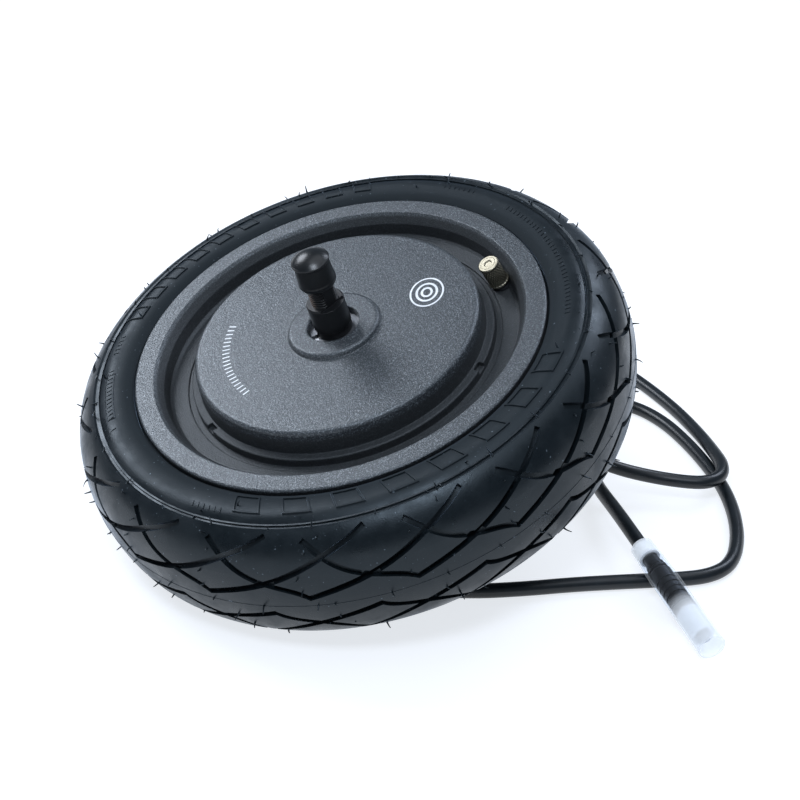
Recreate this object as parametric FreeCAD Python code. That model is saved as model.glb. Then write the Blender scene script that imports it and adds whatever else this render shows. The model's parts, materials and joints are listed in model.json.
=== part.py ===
import FreeCAD, Part
import math
import os

from FreeCAD import Placement, Rotation, Vector

# Hub motor wheel: a 10 inch tubeless tyre on a rim that is also the drum of a gearless motor.
# Every piece of the wheel is made in the wheel's own frame: the axle lies along Z, z = 0 is the
# tyre's middle plane, and +Z points to the side with the air valve. At the end the whole wheel is
# tilted and lifted, so that it lies on the floor on its tyre and on the lower end of its axle.
# Lengths are in millimetres and angles in degrees.

os.makedirs("parts", exist_ok=True)
PARTS = {}

# ---------------------------------------------------------------- clearances
FIT = 0.02            # a seat: bearing in its pocket, hub on the axle
GLUE = 0.05           # adhesive film, rubber on metal
RUN = 0.06            # running fit of a sealing lip on the shaft
PLAY = 0.3            # room beside a piece that isn't a fit

# ---------------------------------------------------------------- motor
SLOTS = 27
POLES = 30
STACK_HALF = 13.5
STATOR_R = 61.4
SLOT_DEPTH = 16.4     # from the stator's rim to the yoke
YOKE_WIDTH = 7.0
AIR_GAP = 0.55
MAGNET_THICK = 3.0
MAGNET_OVERHANG = 1.0
MAGNET_FILL = 0.88    # magnet's share of its pole
FLUX_THICK = 3.6
TOOTH_HALF = 2.3
SLOT_OPENING = 2.3    # gap between two tooth shoes
SHOE_THICK = 2.0
INSULATOR = 1.0
INSULATOR_WALL = 0.25
COIL_SPACE = 0.95     # gap between two coils at the foot of their teeth
COIL_BUILD = 2.9      # height of the end turns
HUB_RIM = 4.0
HUB_WEB = 7.0
HUB_HOLES = 6
HUB_HOLE_R = 5.5
HUB_SLEEVE_WALL = 5.0
BOARD_THICK = 1.6
BOARD_SPAN = 150.0
BOARD_WIDTH = 20.0
BOARD_EDGE = 0.4      # board's outer edge inside the stator's rim
SENSOR_PITCH = 2      # slots between two hall sensors
SENSOR_WIDTH = 4.0
SENSOR_THICK = 2.0
SENSOR_GAP = 0.7      # from the coils
LEAD_R = 1.0

# ---------------------------------------------------------------- rim and drum, one casting
MOUTH_STEP = 3.85     # counterbore for the front cover, wider than the drum's bore
MOUTH_DEPTH = 4.5
BARREL_WALL = 3.55    # the drum's wall under the tyre
VALLEY_ABOVE = 6.0    # valley floor beyond the end of the stator's stack
VALLEY_WIDTH = 7.7    # open ring between the cover's mouth and the bowl's wall
BOWL_WALL = 4.2       # between the bowl and the bead seat
BOWL_DEPTH = 11.5     # from the flange down to the valley
SEAT_WIDTH = 10.5     # bead seat
FLANGE_HEIGHT = 9.4   # above the bead seat
FLANGE_THICK = 5.0
VALVE_LEAN = 14.3     # the valve leans in towards the axle

# ---------------------------------------------------------------- tyre
CROWN_R = 60.0        # radius of the tread's middle arc, seen in section
CROWN_HALF = 16.0     # half width of that arc
CROWN_RISE = 14.1     # from the moulded ridge to the top of the tread
BEAD_GAP = 0.1        # from the tyre's bead to its seat and flange
RIDGE_RISE = 19.6     # from the rim's flange to the ridge between tread and sidewall
RIDGE_DROP = 0.4      # the ridge lies this much below the flange's face
BULGE_RISE = 11.2     # from the flange to the widest ring of the sidewall
BULGE_OUT = 0.7       # which stands out beyond the flange's face
TREAD_WALL = 8.0
SIDE_WALL = 4.6
FLANGE_GAP = 1.1      # open groove between the sidewall and the rim's flange
RIDGE_WIDTH = 0.9     # moulded ridge, and the rib beside it
RIDGE_STEP = 0.6
TREAD_COUNT = 18      # V shaped grooves on each half of the tread
TREAD_AZ = 255.0      # corner of one V
TREAD_TURN_AZ = 231.1
DRAFT = 0.2           # a groove is this much wider on each side at the top, and narrower at the foot
GROOVE_ROOM = 1.2     # the cutters stand proud of the tread
# a V's two arms: (degrees from the corner, z, width, depth). The long one is deep and reaches the
# ridge, the short one is shallow and ends square
V_LONG = [(0, 4.5, 2.7, 2.4), (6, 8.3, 2.7, 3.6), (12, 12.2, 2.6, 3.9), (18, 17.0, 2.5, 3.8),
          (25, 23.2, 2.4, 3.4), (30, 27.0, 2.3, 3.0), (33.3, 29.4, 2.2, 2.6)]
V_SHORT = [(0, 4.5, 2.7, 2.4), (-7.5, 12.0, 2.6, 2.0), (-12.3, 17.0, 2.6, 1.8),
           (-15.7, 22.5, 2.6, 1.8), (-19.3, 28.0, 2.6, 1.8)]

# ---------------------------------------------------------------- bearings
BEARING_WIDTH = 12.0
FRONT_BORE_R = 8.5
FRONT_OUTER_R = 20.0
FRONT_BALL_R = 3.3
FRONT_BALLS = 8
REAR_BORE_R = 10.0
REAR_OUTER_R = 21.0
REAR_BALL_R = 3.1
REAR_BALLS = 9
BALL_PLAY = 0.1

# ---------------------------------------------------------------- covers
DOME_HEIGHT = 11.0    # flat outer face above the ledge
COVER_WALL = 4.5
DOME_FOOT = 3.2       # the dome's side, from the flat face to the ledge
LEDGE_WIDTH = 3.5
LEDGE_RISE = 3.5      # above the valley
LEDGE_INSET = 3.0     # from the mouth
BOSS_RIM = 1.0        # the boss is this much wider than the bearing under it
BOSS_HEIGHT = 2.5
LIP = 4.0             # metal between the boss face and the bearing
HOUSING_WALL = 5.0
NOTCH_WIDTH = 5.0
NOTCH_DEPTH = 2.2
NOTCH_START = 45.0
RING_R = 0.78         # section of the front cover's O-ring
REAR_FLANGE_STEP = 2.2
REAR_FLANGE_THICK = 3.5
GASKET_THICK = 0.4
SEAL_SECTION = 5.0    # shaft seal, from the axle to its outer edge
SEAL_WIDTH = 4.6
SEAL_PLAY = 0.4
WEB = 1.0             # thin wall between the seal's pocket and the bearing's
REAR_BOSS_RIM = 3.0
SCREWS = 10
SCREW_INSET = 4.35    # screw circle outside the drum's bore
SCREW_R = 1.95
SCREW_HEAD_R = 3.4
SCREW_HEAD = 2.2
SCREW_LENGTH = 8.9
SCREW_KEY_R = 1.4

# ---------------------------------------------------------------- axle
BODY_STEP = 2.0       # the axle's body over the rear journal
COLLAR_STEP = 1.2
COLLAR_WIDTH = 8.0
JOURNAL_LENGTH = 13.5 # bare journal beyond the cover's boss, at both ends
FRONT_THREAD_STEP = 2.5
REAR_SHANK_STEP = 2.0
REAR_THREAD_STEP = 1.0
THREAD_CHAMFER = 0.8
FRONT_THREAD_LENGTH = 22.6
REAR_THREAD_LENGTH = 9.8
FLAT_DEPTH = 1.0      # how deep the two flats cut into the front thread
FLAT_LENGTH = 11.0
FLAT_RUN = 0.8        # how far the front flats run on into the journal
FLAT_AZ = 84.0
CLIP_THICK = 1.0
CLIP_GROOVE = 0.5
CLIP_PLAY = 0.2       # its groove is this much wider than the circlip
CLIP_RISE = 2.2
NECK_DEPTH = 0.3      # the shaft is relieved from the circlip to just beyond the boss
NECK_BEYOND = 0.7
CLIP_OPENING = 4.0
CLIP_ROOM = 1.0       # between the circlip and the hole in the cover's boss
KEY_WIDTH = 5.0
KEY_LENGTH = 18.0
KEY_SINK = 2.4
KEY_RISE = 2.2
KEY_AZ = 90.0
CHANNEL_R = 3.6
EXIT_BEYOND = 7.5     # the cable leaves the hollow axle this far beyond the rear boss
EXIT_AZ = -45.0
EXIT_R = 4.2
WINDOW_R = 2.9
CAP_WALL = 2.05
CAP_LIP = 0.35
CAP_FOOT = 9.5        # bare thread between the journal and the cap
CAP_EDGE = 0.3
CAP_DOME = 3.1

# ---------------------------------------------------------------- air valve
VALVE_AZ = -30.0
VALVE_INSET = 1.4     # from the bowl's wall
STEM_R = 2.6
STEM_BORE_R = 2.0
STEM_THREAD_STEP = 1.2
STEM_STEP = 8.0
STEM_TOP = 19.4
GROMMET_WALL = 1.45
GROMMET_FLANGE_STEP = 1.9
GROMMET_FLANGE = 3.0
CORE_PIN_R = 0.7
VALVE_CAP_PLAY = 0.1
VALVE_CAP_WALL = 0.55
VALVE_CAP_LIFT = 0.2  # cap clear of the stem's step and of its top
VALVE_CAP_ROOF = 1.0

# ---------------------------------------------------------------- cable and plug
CABLE_R = 3.3
BOOT_WALL = 2.1
BOOT_TIP_WALL = 1.0
BOOT_LENGTH = 28.0    # from the axle's centre line to the boot's tip
CABLE_SEAT = 12.0     # how deep the cable sits in the boot
PLUG_SEAT = 5.0       # and in the plug
GUARD_NEAR = Vector(49.1, -128.7, 13.8)
GUARD_FAR = Vector(18.2, -185.7, 6.0)
GUARD_R = 6.0
GUARD_NECK_STEP = 0.8
GUARD_TAPER = 20.0
GUARD_WALL = 0.7
PLUG_ROOM = 0.35      # plug inside the guard
PLUG_START = 8.3      # from the guard's near end to the plug's rear face
PLUG_NECK_STEP = 1.15
PLUG_LENGTH = 35.7
PLUG_SHELL = 14.0
PLUG_SHELL_WALL = 0.8
PLUG_KEY = 0.8
PLUG_INSERT = 3.5
PIN_LENGTH = 5.0
PHASE_PIN_R = 0.6
HALL_PIN_R = 0.35
COLLARS = 2           # steps between the plug's neck and its grip
RIBS = 5
RIB_START = 16.4
RIB_PITCH = 3.2
RIB_DEPTH = 0.45

# ---------------------------------------------------------------- worked out from the sizes above
YOKE_R = STATOR_R - SLOT_DEPTH
STATOR_BORE_R = YOKE_R - YOKE_WIDTH
SHOE_HALF = math.pi * STATOR_R / SLOTS - SLOT_OPENING / 2
COIL_IN_R = YOKE_R + 1.2
COIL_OUT_R = STATOR_R - SHOE_THICK - 1.6
COIL_HALF = math.pi * COIL_IN_R / SLOTS - COIL_SPACE / 2
INSULATOR_END = STACK_HALF + INSULATOR
COIL_END = INSULATOR_END + COIL_BUILD

DRUM_BORE_R = STATOR_R + AIR_GAP + MAGNET_THICK + 2 * GLUE + FLUX_THICK
MOUTH_R = DRUM_BORE_R + MOUTH_STEP
WELL_R = DRUM_BORE_R + BARREL_WALL
VALLEY_R = MOUTH_R + VALLEY_WIDTH
SEAT_R = VALLEY_R + BOWL_WALL
FLANGE_R = SEAT_R + FLANGE_HEIGHT
VALLEY_Z = STACK_HALF + VALLEY_ABOVE
MOUTH_Z = VALLEY_Z - MOUTH_DEPTH
FLANGE_Z = VALLEY_Z + BOWL_DEPTH
SEAT_FOOT_Z = FLANGE_Z - FLANGE_THICK - SEAT_WIDTH
LEAN_TAN = math.tan(math.radians(VALVE_LEAN))
WELL_HALF = SEAT_FOOT_Z - (SEAT_R - WELL_R) * LEAN_TAN     # the valve stands square on this slope
OPENING_R = DRUM_BORE_R - FLUX_THICK - 2.0
RING_SEAT_R = (DRUM_BORE_R + MOUTH_R) / 2                  # middle of the drum's shoulder

RIDGE_R = FLANGE_R + RIDGE_RISE
RIDGE_Z = FLANGE_Z - RIDGE_DROP
BULGE_R = FLANGE_R + BULGE_RISE
BULGE_Z = FLANGE_Z + BULGE_OUT
TYRE_R = RIDGE_R + CROWN_RISE

LEDGE_OUT_R = MOUTH_R - LEDGE_INSET
LEDGE_IN_R = LEDGE_OUT_R - LEDGE_WIDTH
COVER_FLAT_R = LEDGE_IN_R - DOME_FOOT
WALL_IN_R = LEDGE_IN_R - COVER_WALL + 0.6
LEDGE_Z = VALLEY_Z + LEDGE_RISE
COVER_FACE_Z = LEDGE_Z + DOME_HEIGHT                       # the same distance out at both sides
COVER_INSIDE_Z = COVER_FACE_Z - COVER_WALL
BOSS_Z = COVER_FACE_Z + BOSS_HEIGHT
BOSS_R = FRONT_OUTER_R + BOSS_RIM
REAR_BOSS_R = REAR_OUTER_R + REAR_BOSS_RIM
SEAL_R = REAR_BORE_R + SEAL_SECTION
REAR_FLANGE_R = VALLEY_R - REAR_FLANGE_STEP
SCREW_CIRCLE_R = DRUM_BORE_R + SCREW_INSET
SCREW_DEPTH = SCREW_LENGTH - REAR_FLANGE_THICK - GASKET_THICK
FRONT_SEAT_Z = BOSS_Z - LIP                                # outer face of the front bearing
REAR_SEAT_Z = BOSS_Z - SEAL_WIDTH - SEAL_PLAY - WEB        # the same at the rear, as a distance
FRONT_BEARING_Z = FRONT_SEAT_Z - BEARING_WIDTH / 2
REAR_BEARING_Z = -(REAR_SEAT_Z - BEARING_WIDTH / 2)

AXLE_BODY_R = REAR_BORE_R + BODY_STEP
COLLAR_R = AXLE_BODY_R + COLLAR_STEP
COLLAR_LOW_Z = -(REAR_SEAT_Z - BEARING_WIDTH)
HUB_LOW_Z = COLLAR_LOW_Z + COLLAR_WIDTH
HUB_HIGH_Z = STACK_HALF - 0.5
KEY_IN_R = AXLE_BODY_R - KEY_SINK
KEY_OUT_R = AXLE_BODY_R + KEY_RISE
KEY_LOW_Z = (HUB_LOW_Z + HUB_HIGH_Z - KEY_LENGTH) / 2
WINDOW_Z = COLLAR_LOW_Z + COLLAR_WIDTH / 2
SHOULDER_Z = BOSS_Z + JOURNAL_LENGTH                       # both journals end here
FRONT_THREAD_R = FRONT_BORE_R - FRONT_THREAD_STEP
FRONT_END_Z = SHOULDER_Z + FRONT_THREAD_LENGTH
FLAT_HALF = FRONT_THREAD_R - FLAT_DEPTH                    # half of the width across the flats
REAR_SHANK_R = REAR_BORE_R - REAR_SHANK_STEP               # carries the rear flats
REAR_THREAD_R = REAR_SHANK_R - REAR_THREAD_STEP
REAR_THREAD_Z = SHOULDER_Z + FLAT_LENGTH + PLAY
REAR_END_Z = REAR_THREAD_Z + REAR_THREAD_LENGTH
CLIP_R = FRONT_BORE_R + CLIP_RISE
BOSS_HOLE_R = CLIP_R + CLIP_ROOM
EXIT_Z = -(BOSS_Z + EXIT_BEYOND)
CAP_BORE_R = FRONT_THREAD_R + GLUE
CAP_OUTER_R = CAP_BORE_R + CAP_WALL
CAP_LIP_R = CAP_OUTER_R + CAP_LIP
CAP_START_Z = SHOULDER_Z + CAP_FOOT
CAP_EDGE_Z = FRONT_END_Z + CAP_EDGE

VALVE_BASE_R = VALLEY_R - VALVE_INSET
STEM_THREAD_R = STEM_R + STEM_THREAD_STEP
GROMMET_R = STEM_R + GLUE + GROMMET_WALL
GROMMET_FLANGE_R = GROMMET_R + GROMMET_FLANGE_STEP
VALVE_CAP_BORE_R = STEM_THREAD_R + VALVE_CAP_PLAY
VALVE_CAP_R = VALVE_CAP_BORE_R + VALVE_CAP_WALL
VALVE_CAP_START = STEM_STEP + VALVE_CAP_LIFT
VALVE_CAP_TOP = STEM_TOP + VALVE_CAP_LIFT + VALVE_CAP_ROOF

BOOT_R = CABLE_R + BOOT_WALL
BOOT_TIP_R = CABLE_R + BOOT_TIP_WALL
GUARD_NECK_R = GUARD_R - GUARD_NECK_STEP
PLUG_R = GUARD_R - GUARD_WALL - PLUG_ROOM
PLUG_NECK_R = PLUG_R - PLUG_NECK_STEP

# The wheel lies on the rear ridge of its tyre and on the rim of the axle's lower end. Both are
# circles about the axle, so the tilt is the slope of the line from one to the other.
TIP_R = REAR_THREAD_R - THREAD_CHAMFER
TILT = math.atan2(REAR_END_Z - RIDGE_Z, RIDGE_R - TIP_R)
LIFT = RIDGE_R * math.sin(TILT) + RIDGE_Z * math.cos(TILT)
RESTING = Placement(Vector(0, 0, LIFT), Rotation(Vector(0, 1, 0), -math.degrees(TILT)))


# ================================================================ helpers
def outline(*steps):
    """A closed wire in the XZ plane. A step is a point (r, z), or (through, to) for an arc."""
    points = [s if not isinstance(s[0], tuple) else s[1] for s in steps]
    edges = []
    here = points[-1]
    for step, there in zip(steps, points):
        start = Vector(here[0], 0, here[1])
        end = Vector(there[0], 0, there[1])
        if isinstance(step[0], tuple):
            through = Vector(step[0][0], 0, step[0][1])
            edges.append(Part.Arc(start, through, end).toShape())
        else:
            edges.append(Part.LineSegment(start, end).toShape())
        here = there
    return Part.Wire(edges)


def turned(*steps):
    """The solid that the outline sweeps in one turn about Z."""
    return Part.Face(outline(*steps)).revolve(Vector(0, 0, 0), Vector(0, 0, 1), 360)


def tube(outer, inner, low, high):
    """A straight ring about Z."""
    ring = Part.makeCylinder(outer, high - low, Vector(0, 0, low))
    if inner > 0:
        ring = ring.cut(Part.makeCylinder(inner, high - low + 2, Vector(0, 0, low - 1)))
    return ring


def spun(shape, azimuth):
    """A copy turned about Z."""
    copy = shape.copy()
    copy.rotate(Vector(0, 0, 0), Vector(0, 0, 1), azimuth)
    return copy


def around(shape, count, start=0.0):
    """Copies of one shape, evenly spaced about Z."""
    return [spun(shape, start + i * 360.0 / count) for i in range(count)]


def block(x0, x1, half_width, z0, z1):
    """A box from x0 to x1 and z0 to z1, centred on the XZ plane."""
    return Part.makeBox(x1 - x0, 2 * half_width, z1 - z0, Vector(x0, -half_width, z0))


def mirrored(shape):
    """The mirror image on the other side of the wheel's middle plane."""
    return shape.mirror(Vector(0, 0, 0), Vector(0, 0, 1))


def outward(azimuth):
    """The direction away from the axle at this azimuth."""
    return Vector(math.cos(math.radians(azimuth)), math.sin(math.radians(azimuth)), 0)


def flipped(points):
    """The same points on the other side of the middle plane, in the opposite order."""
    return [(r, -z) for r, z in reversed(points)]


# ================================================================ tyre
def crown_edge():
    """End of the crown arc, and the centre and radius of the shoulder arc that carries on from it."""
    centre_r = TYRE_R - CROWN_R
    slope = math.asin(CROWN_HALF / CROWN_R)
    nr, nz = math.cos(slope), math.sin(slope)
    edge = (centre_r + CROWN_R * nr, CROWN_HALF)
    # the shoulder arc leaves the crown arc without a kink and ends at the ridge
    dr, dz = RIDGE_R - edge[0], RIDGE_Z - edge[1]
    radius = -(dr * dr + dz * dz) / (2 * (dr * nr + dz * nz))
    return edge, (edge[0] - radius * nr, edge[1] - radius * nz), radius


def surface(z):
    """Point (r, z) of the tread's outer surface, and its outward direction."""
    edge, centre, radius = crown_edge()
    if z <= CROWN_HALF:
        centre, radius = (TYRE_R - CROWN_R, 0), CROWN_R
    sine = (z - centre[1]) / radius
    cosine = math.sqrt(1 - sine * sine)
    return (centre[0] + radius * cosine, z), (cosine, sine)


def on_tread(azimuth, z):
    """The same as vectors, at an azimuth in degrees."""
    (r, height), (nr, nz) = surface(min(z, RIDGE_Z))
    return outward(azimuth) * r + Vector(0, 0, height), outward(azimuth) * nr + Vector(0, 0, nz)


def arm_cutter(arm, mitre):
    """Cutter for one arm of a tread groove. Its walls stand square on the tread.

    A stop of the arm is (azimuth, z, width, depth). The first stop is the corner of the V, where
    the section is turned to the mitre shared with the other arm.
    """
    sites = [on_tread(az, z) for az, z, _, _ in arm]
    sections = []
    for i, (_, _, width, depth) in enumerate(arm):
        point, normal = sites[i]
        ahead = sites[min(i + 1, len(arm) - 1)][0]
        behind = sites[max(i - 1, 0)][0]
        along = (ahead - behind).normalize()
        side = normal.cross(along).normalize()
        if i == 0:
            side = mitre * (1 / side.dot(mitre))
        top, foot = side * (width / 2 + DRAFT), side * (width / 2 - DRAFT)
        roof, floor = normal * GROOVE_ROOM, normal * -depth
        corners = [point + roof + top, point + floor + foot, point + floor - foot, point + roof - top]
        sections.append(Part.makePolygon(corners + corners[:1]))
    return Part.makeLoft(sections, True, False)


def groove_cutters():
    """The V shaped grooves of the tyre's front half."""
    corner, normal = on_tread(TREAD_AZ, V_LONG[0][1])
    rays = [(on_tread(TREAD_AZ + arm[1][0], arm[1][1])[0] - corner).normalize() for arm in (V_LONG, V_SHORT)]
    mitre = (rays[0] + rays[1]).normalize()
    cutters = []
    for arm in (V_LONG, V_SHORT):
        placed = [(TREAD_AZ + d_az, z, width, depth) for d_az, z, width, depth in arm]
        ahead = (on_tread(placed[1][0], placed[1][1])[0] - corner).normalize()
        flip = 1 if normal.cross(ahead).dot(mitre) > 0 else -1
        cutters += around(arm_cutter(placed, mitre * flip), TREAD_COUNT)
    return cutters


def tyre_shape():
    edge, (cr, cz), radius = crown_edge()
    slope = math.asin(CROWN_HALF / CROWN_R)
    crown_mid = (TYRE_R - CROWN_R + CROWN_R * math.cos(slope / 2), CROWN_R * math.sin(slope / 2))
    first = math.atan2(edge[1] - cz, edge[0] - cr)
    last = math.atan2(RIDGE_Z - cz, RIDGE_R - cr)
    shoulder_mid = (cr + radius * math.cos((first + last) / 2), cz + radius * math.sin((first + last) / 2))
    foot_z = FLANGE_Z - FLANGE_THICK - BEAD_GAP
    toe_z = foot_z - SEAT_WIDTH + 1.0
    heel_r = SEAT_R + BEAD_GAP
    lip_r = FLANGE_R + FLANGE_GAP
    bulge_in = BULGE_Z - SIDE_WALL
    crown_in = TYRE_R - TREAD_WALL
    # the front half of the section: tread, sidewall and bead on the outside, then the air space
    half = turned(
        (TYRE_R, 0),
        (crown_mid, edge),
        (shoulder_mid, (RIDGE_R, RIDGE_Z)),
        (RIDGE_R - RIDGE_WIDTH, RIDGE_Z - RIDGE_STEP),
        (RIDGE_R - 2 * RIDGE_WIDTH, RIDGE_Z - RIDGE_STEP),
        (RIDGE_R - 2.2 * RIDGE_WIDTH, RIDGE_Z),
        (RIDGE_R - 3 * RIDGE_WIDTH, RIDGE_Z),
        (RIDGE_R - 3.2 * RIDGE_WIDTH, RIDGE_Z - RIDGE_STEP),
        ((BULGE_R + 1.5, BULGE_Z - 0.1), (BULGE_R - 2.5, BULGE_Z)),
        ((lip_r + 2.4, BULGE_Z - 0.9), (lip_r, FLANGE_Z - 1.6)),
        (lip_r, foot_z + 1.4),
        (FLANGE_R + BEAD_GAP, foot_z),
        (heel_r + 1.2, foot_z),
        (heel_r, foot_z - 1.2),
        (heel_r, toe_z),
        (heel_r + 1.6, toe_z - 0.6),
        (heel_r + 6.0, toe_z + 2.5),
        ((BULGE_R - 8.0, bulge_in - 2.0), (BULGE_R, bulge_in)),
        ((RIDGE_R + 2.5, bulge_in - 7.0), (crown_in - 2.0, CROWN_HALF - 4.0)),
        ((crown_in - 0.5, (CROWN_HALF - 4.0) / 2), (crown_in, 0)),
    )
    tyre = half.fuse(mirrored(half)).removeSplitter()
    # the pattern of the rear half is the front one turned half a turn about a line across the axle
    front = groove_cutters()
    rear = [cutter.copy() for cutter in front]
    for cutter in rear:
        cutter.rotate(Vector(0, 0, 0), outward(TREAD_TURN_AZ), 180)
    return tyre.cut(Part.makeCompound(front + rear))


# ================================================================ rim and drum
def rim_drum_shape():
    bead_z = FLANGE_Z - FLANGE_THICK
    bowl = [
        (FLANGE_R - 0.8, FLANGE_Z),
        (SEAT_R + 0.6, FLANGE_Z - 0.3),
        (SEAT_R - 0.6, FLANGE_Z - 1.6),
        (VALLEY_R + 1.4, bead_z),
        (VALLEY_R + 0.5, VALLEY_Z + 1.2),
        (VALLEY_R - 0.8, VALLEY_Z),
    ]
    tyre_side = [
        (SEAT_R, SEAT_FOOT_Z),
        (SEAT_R, bead_z - 0.8),
        (SEAT_R + 0.8, bead_z),
        (FLANGE_R - 0.4, bead_z),
        (FLANGE_R, bead_z + 0.5),
        (FLANGE_R, FLANGE_Z - 0.6),
    ]
    front = tyre_side + bowl
    drum = turned(
        (WELL_R, -WELL_HALF),
        (WELL_R, WELL_HALF),
        *front,
        (MOUTH_R, VALLEY_Z),
        (MOUTH_R, MOUTH_Z),
        (DRUM_BORE_R, MOUTH_Z),
        (DRUM_BORE_R, -VALLEY_Z),
        *flipped(front),
    )
    hole = valve_cylinder(GROMMET_R + GLUE, -6.0, 12.0)
    tap = Part.makeCylinder(SCREW_R + GLUE, SCREW_DEPTH + PLAY, Vector(SCREW_CIRCLE_R, 0, -VALLEY_Z))
    drum = drum.cut(hole)
    return drum.cut(Part.makeCompound(around(tap, SCREWS)))


# ================================================================ covers
def front_cover_shape():
    flange_z = VALLEY_Z - 0.5
    housing_r = FRONT_OUTER_R + HOUSING_WALL
    housing_z = FRONT_SEAT_Z - BEARING_WIDTH
    cover = turned(
        (BOSS_HOLE_R, BOSS_Z - 0.5),
        (BOSS_HOLE_R + 0.5, BOSS_Z),
        (BOSS_R - 1.8, BOSS_Z),
        ((BOSS_R - 0.6, BOSS_Z - 0.5), (BOSS_R, BOSS_Z - 1.8)),
        (BOSS_R + 0.3, COVER_FACE_Z),
        (COVER_FLAT_R, COVER_FACE_Z),
        ((COVER_FLAT_R + 1.5, COVER_FACE_Z - 0.6), (COVER_FLAT_R + 2.2, COVER_FACE_Z - 2.2)),
        (LEDGE_IN_R, LEDGE_Z),
        (LEDGE_OUT_R - 0.4, LEDGE_Z),
        (LEDGE_OUT_R, LEDGE_Z - 0.4),
        (LEDGE_OUT_R + 0.2, flange_z),
        (MOUTH_R - 0.1, flange_z),
        (MOUTH_R - 0.1, MOUTH_Z),
        (OPENING_R, MOUTH_Z),
        (OPENING_R - 0.3, LEDGE_Z - 3.0),
        (WALL_IN_R - 1.0, COVER_INSIDE_Z - 1.5),
        (WALL_IN_R - 3.0, COVER_INSIDE_Z),
        (housing_r, COVER_INSIDE_Z),
        (housing_r, housing_z),
        (FRONT_OUTER_R + FIT, housing_z),
        (FRONT_OUTER_R + FIT, FRONT_SEAT_Z),
        (BOSS_HOLE_R, FRONT_SEAT_Z),
    )
    notch = block(LEDGE_IN_R + 0.9, LEDGE_OUT_R + 3.5, NOTCH_WIDTH / 2, LEDGE_Z - NOTCH_DEPTH, LEDGE_Z + 1)
    groove_top = MOUTH_Z + 2 * RING_R + 2 * FIT
    groove = tube(RING_SEAT_R + RING_R + GLUE, RING_SEAT_R - RING_R - GLUE, MOUTH_Z - 1, groove_top)
    return cover.cut(Part.makeCompound(around(notch, 3, NOTCH_START) + [groove]))


def rear_cover_shape():
    """The same dished shield, held by screws, with a pocket for the shaft seal."""
    seat_z = VALLEY_Z + GASKET_THICK
    flange_z = seat_z + REAR_FLANGE_THICK
    housing_r = REAR_OUTER_R + HOUSING_WALL
    housing_z = REAR_SEAT_Z - BEARING_WIDTH
    web_r = REAR_BORE_R + 3.0
    wall_r = SCREW_CIRCLE_R - SCREW_HEAD_R - 0.8
    cover = turned(
        (SEAL_R + FIT, BOSS_Z - 0.4),
        (SEAL_R + FIT + 0.4, BOSS_Z),
        (REAR_BOSS_R - 1.5, BOSS_Z),
        ((REAR_BOSS_R - 0.5, BOSS_Z - 0.4), (REAR_BOSS_R, BOSS_Z - 1.5)),
        (REAR_BOSS_R + 0.3, COVER_FACE_Z),
        (COVER_FLAT_R, COVER_FACE_Z),
        ((COVER_FLAT_R + 1.5, COVER_FACE_Z - 0.6), (COVER_FLAT_R + 2.2, COVER_FACE_Z - 2.2)),
        (wall_r, flange_z),
        (REAR_FLANGE_R - 0.5, flange_z),
        (REAR_FLANGE_R, flange_z - 0.5),
        (REAR_FLANGE_R, seat_z),
        (OPENING_R, seat_z),
        (WALL_IN_R - 1.0, COVER_INSIDE_Z - 1.5),
        (WALL_IN_R - 3.0, COVER_INSIDE_Z),
        (housing_r, COVER_INSIDE_Z),
        (housing_r, housing_z),
        (REAR_OUTER_R + FIT, housing_z),
        (REAR_OUTER_R + FIT, REAR_SEAT_Z),
        (web_r, REAR_SEAT_Z),
        (web_r, REAR_SEAT_Z + WEB),
        (SEAL_R + FIT, REAR_SEAT_Z + WEB),
    )
    hole = Part.makeCylinder(SCREW_R + GLUE, 20, Vector(SCREW_CIRCLE_R, 0, seat_z - 10))
    cover = cover.cut(Part.makeCompound(around(hole, SCREWS)))
    return turned_over(cover)


def turned_over(shape):
    """A copy on the rear side, turned half a turn about X."""
    copy = shape.copy()
    copy.rotate(Vector(0, 0, 0), Vector(1, 0, 0), 180)
    return copy


def gasket_shape():
    ring = tube(REAR_FLANGE_R, DRUM_BORE_R + PLAY, -VALLEY_Z - GASKET_THICK, -VALLEY_Z)
    hole = Part.makeCylinder(SCREW_R + GLUE, 4, Vector(SCREW_CIRCLE_R, 0, -VALLEY_Z - 2))
    return ring.cut(Part.makeCompound(around(hole, SCREWS)))


def screw_shapes():
    under = VALLEY_Z + GASKET_THICK + REAR_FLANGE_THICK
    screw = turned(
        (0, -under - SCREW_HEAD),
        (SCREW_HEAD_R - 0.6, -under - SCREW_HEAD),
        (SCREW_HEAD_R, -under - SCREW_HEAD + 0.8),
        (SCREW_HEAD_R, -under),
        (SCREW_R, -under),
        (SCREW_R, -under + SCREW_LENGTH),
        (0, -under + SCREW_LENGTH),
    )
    corners = [Vector(SCREW_KEY_R * math.cos(a), SCREW_KEY_R * math.sin(a), -under - SCREW_HEAD)
               for a in [math.radians(60 * i) for i in range(7)]]
    socket = Part.Face(Part.makePolygon(corners)).extrude(Vector(0, 0, 1.3))
    screw = screw.cut(socket)
    screw.translate(Vector(SCREW_CIRCLE_R, 0, 0))
    return Part.makeCompound(around(screw, SCREWS))


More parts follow.
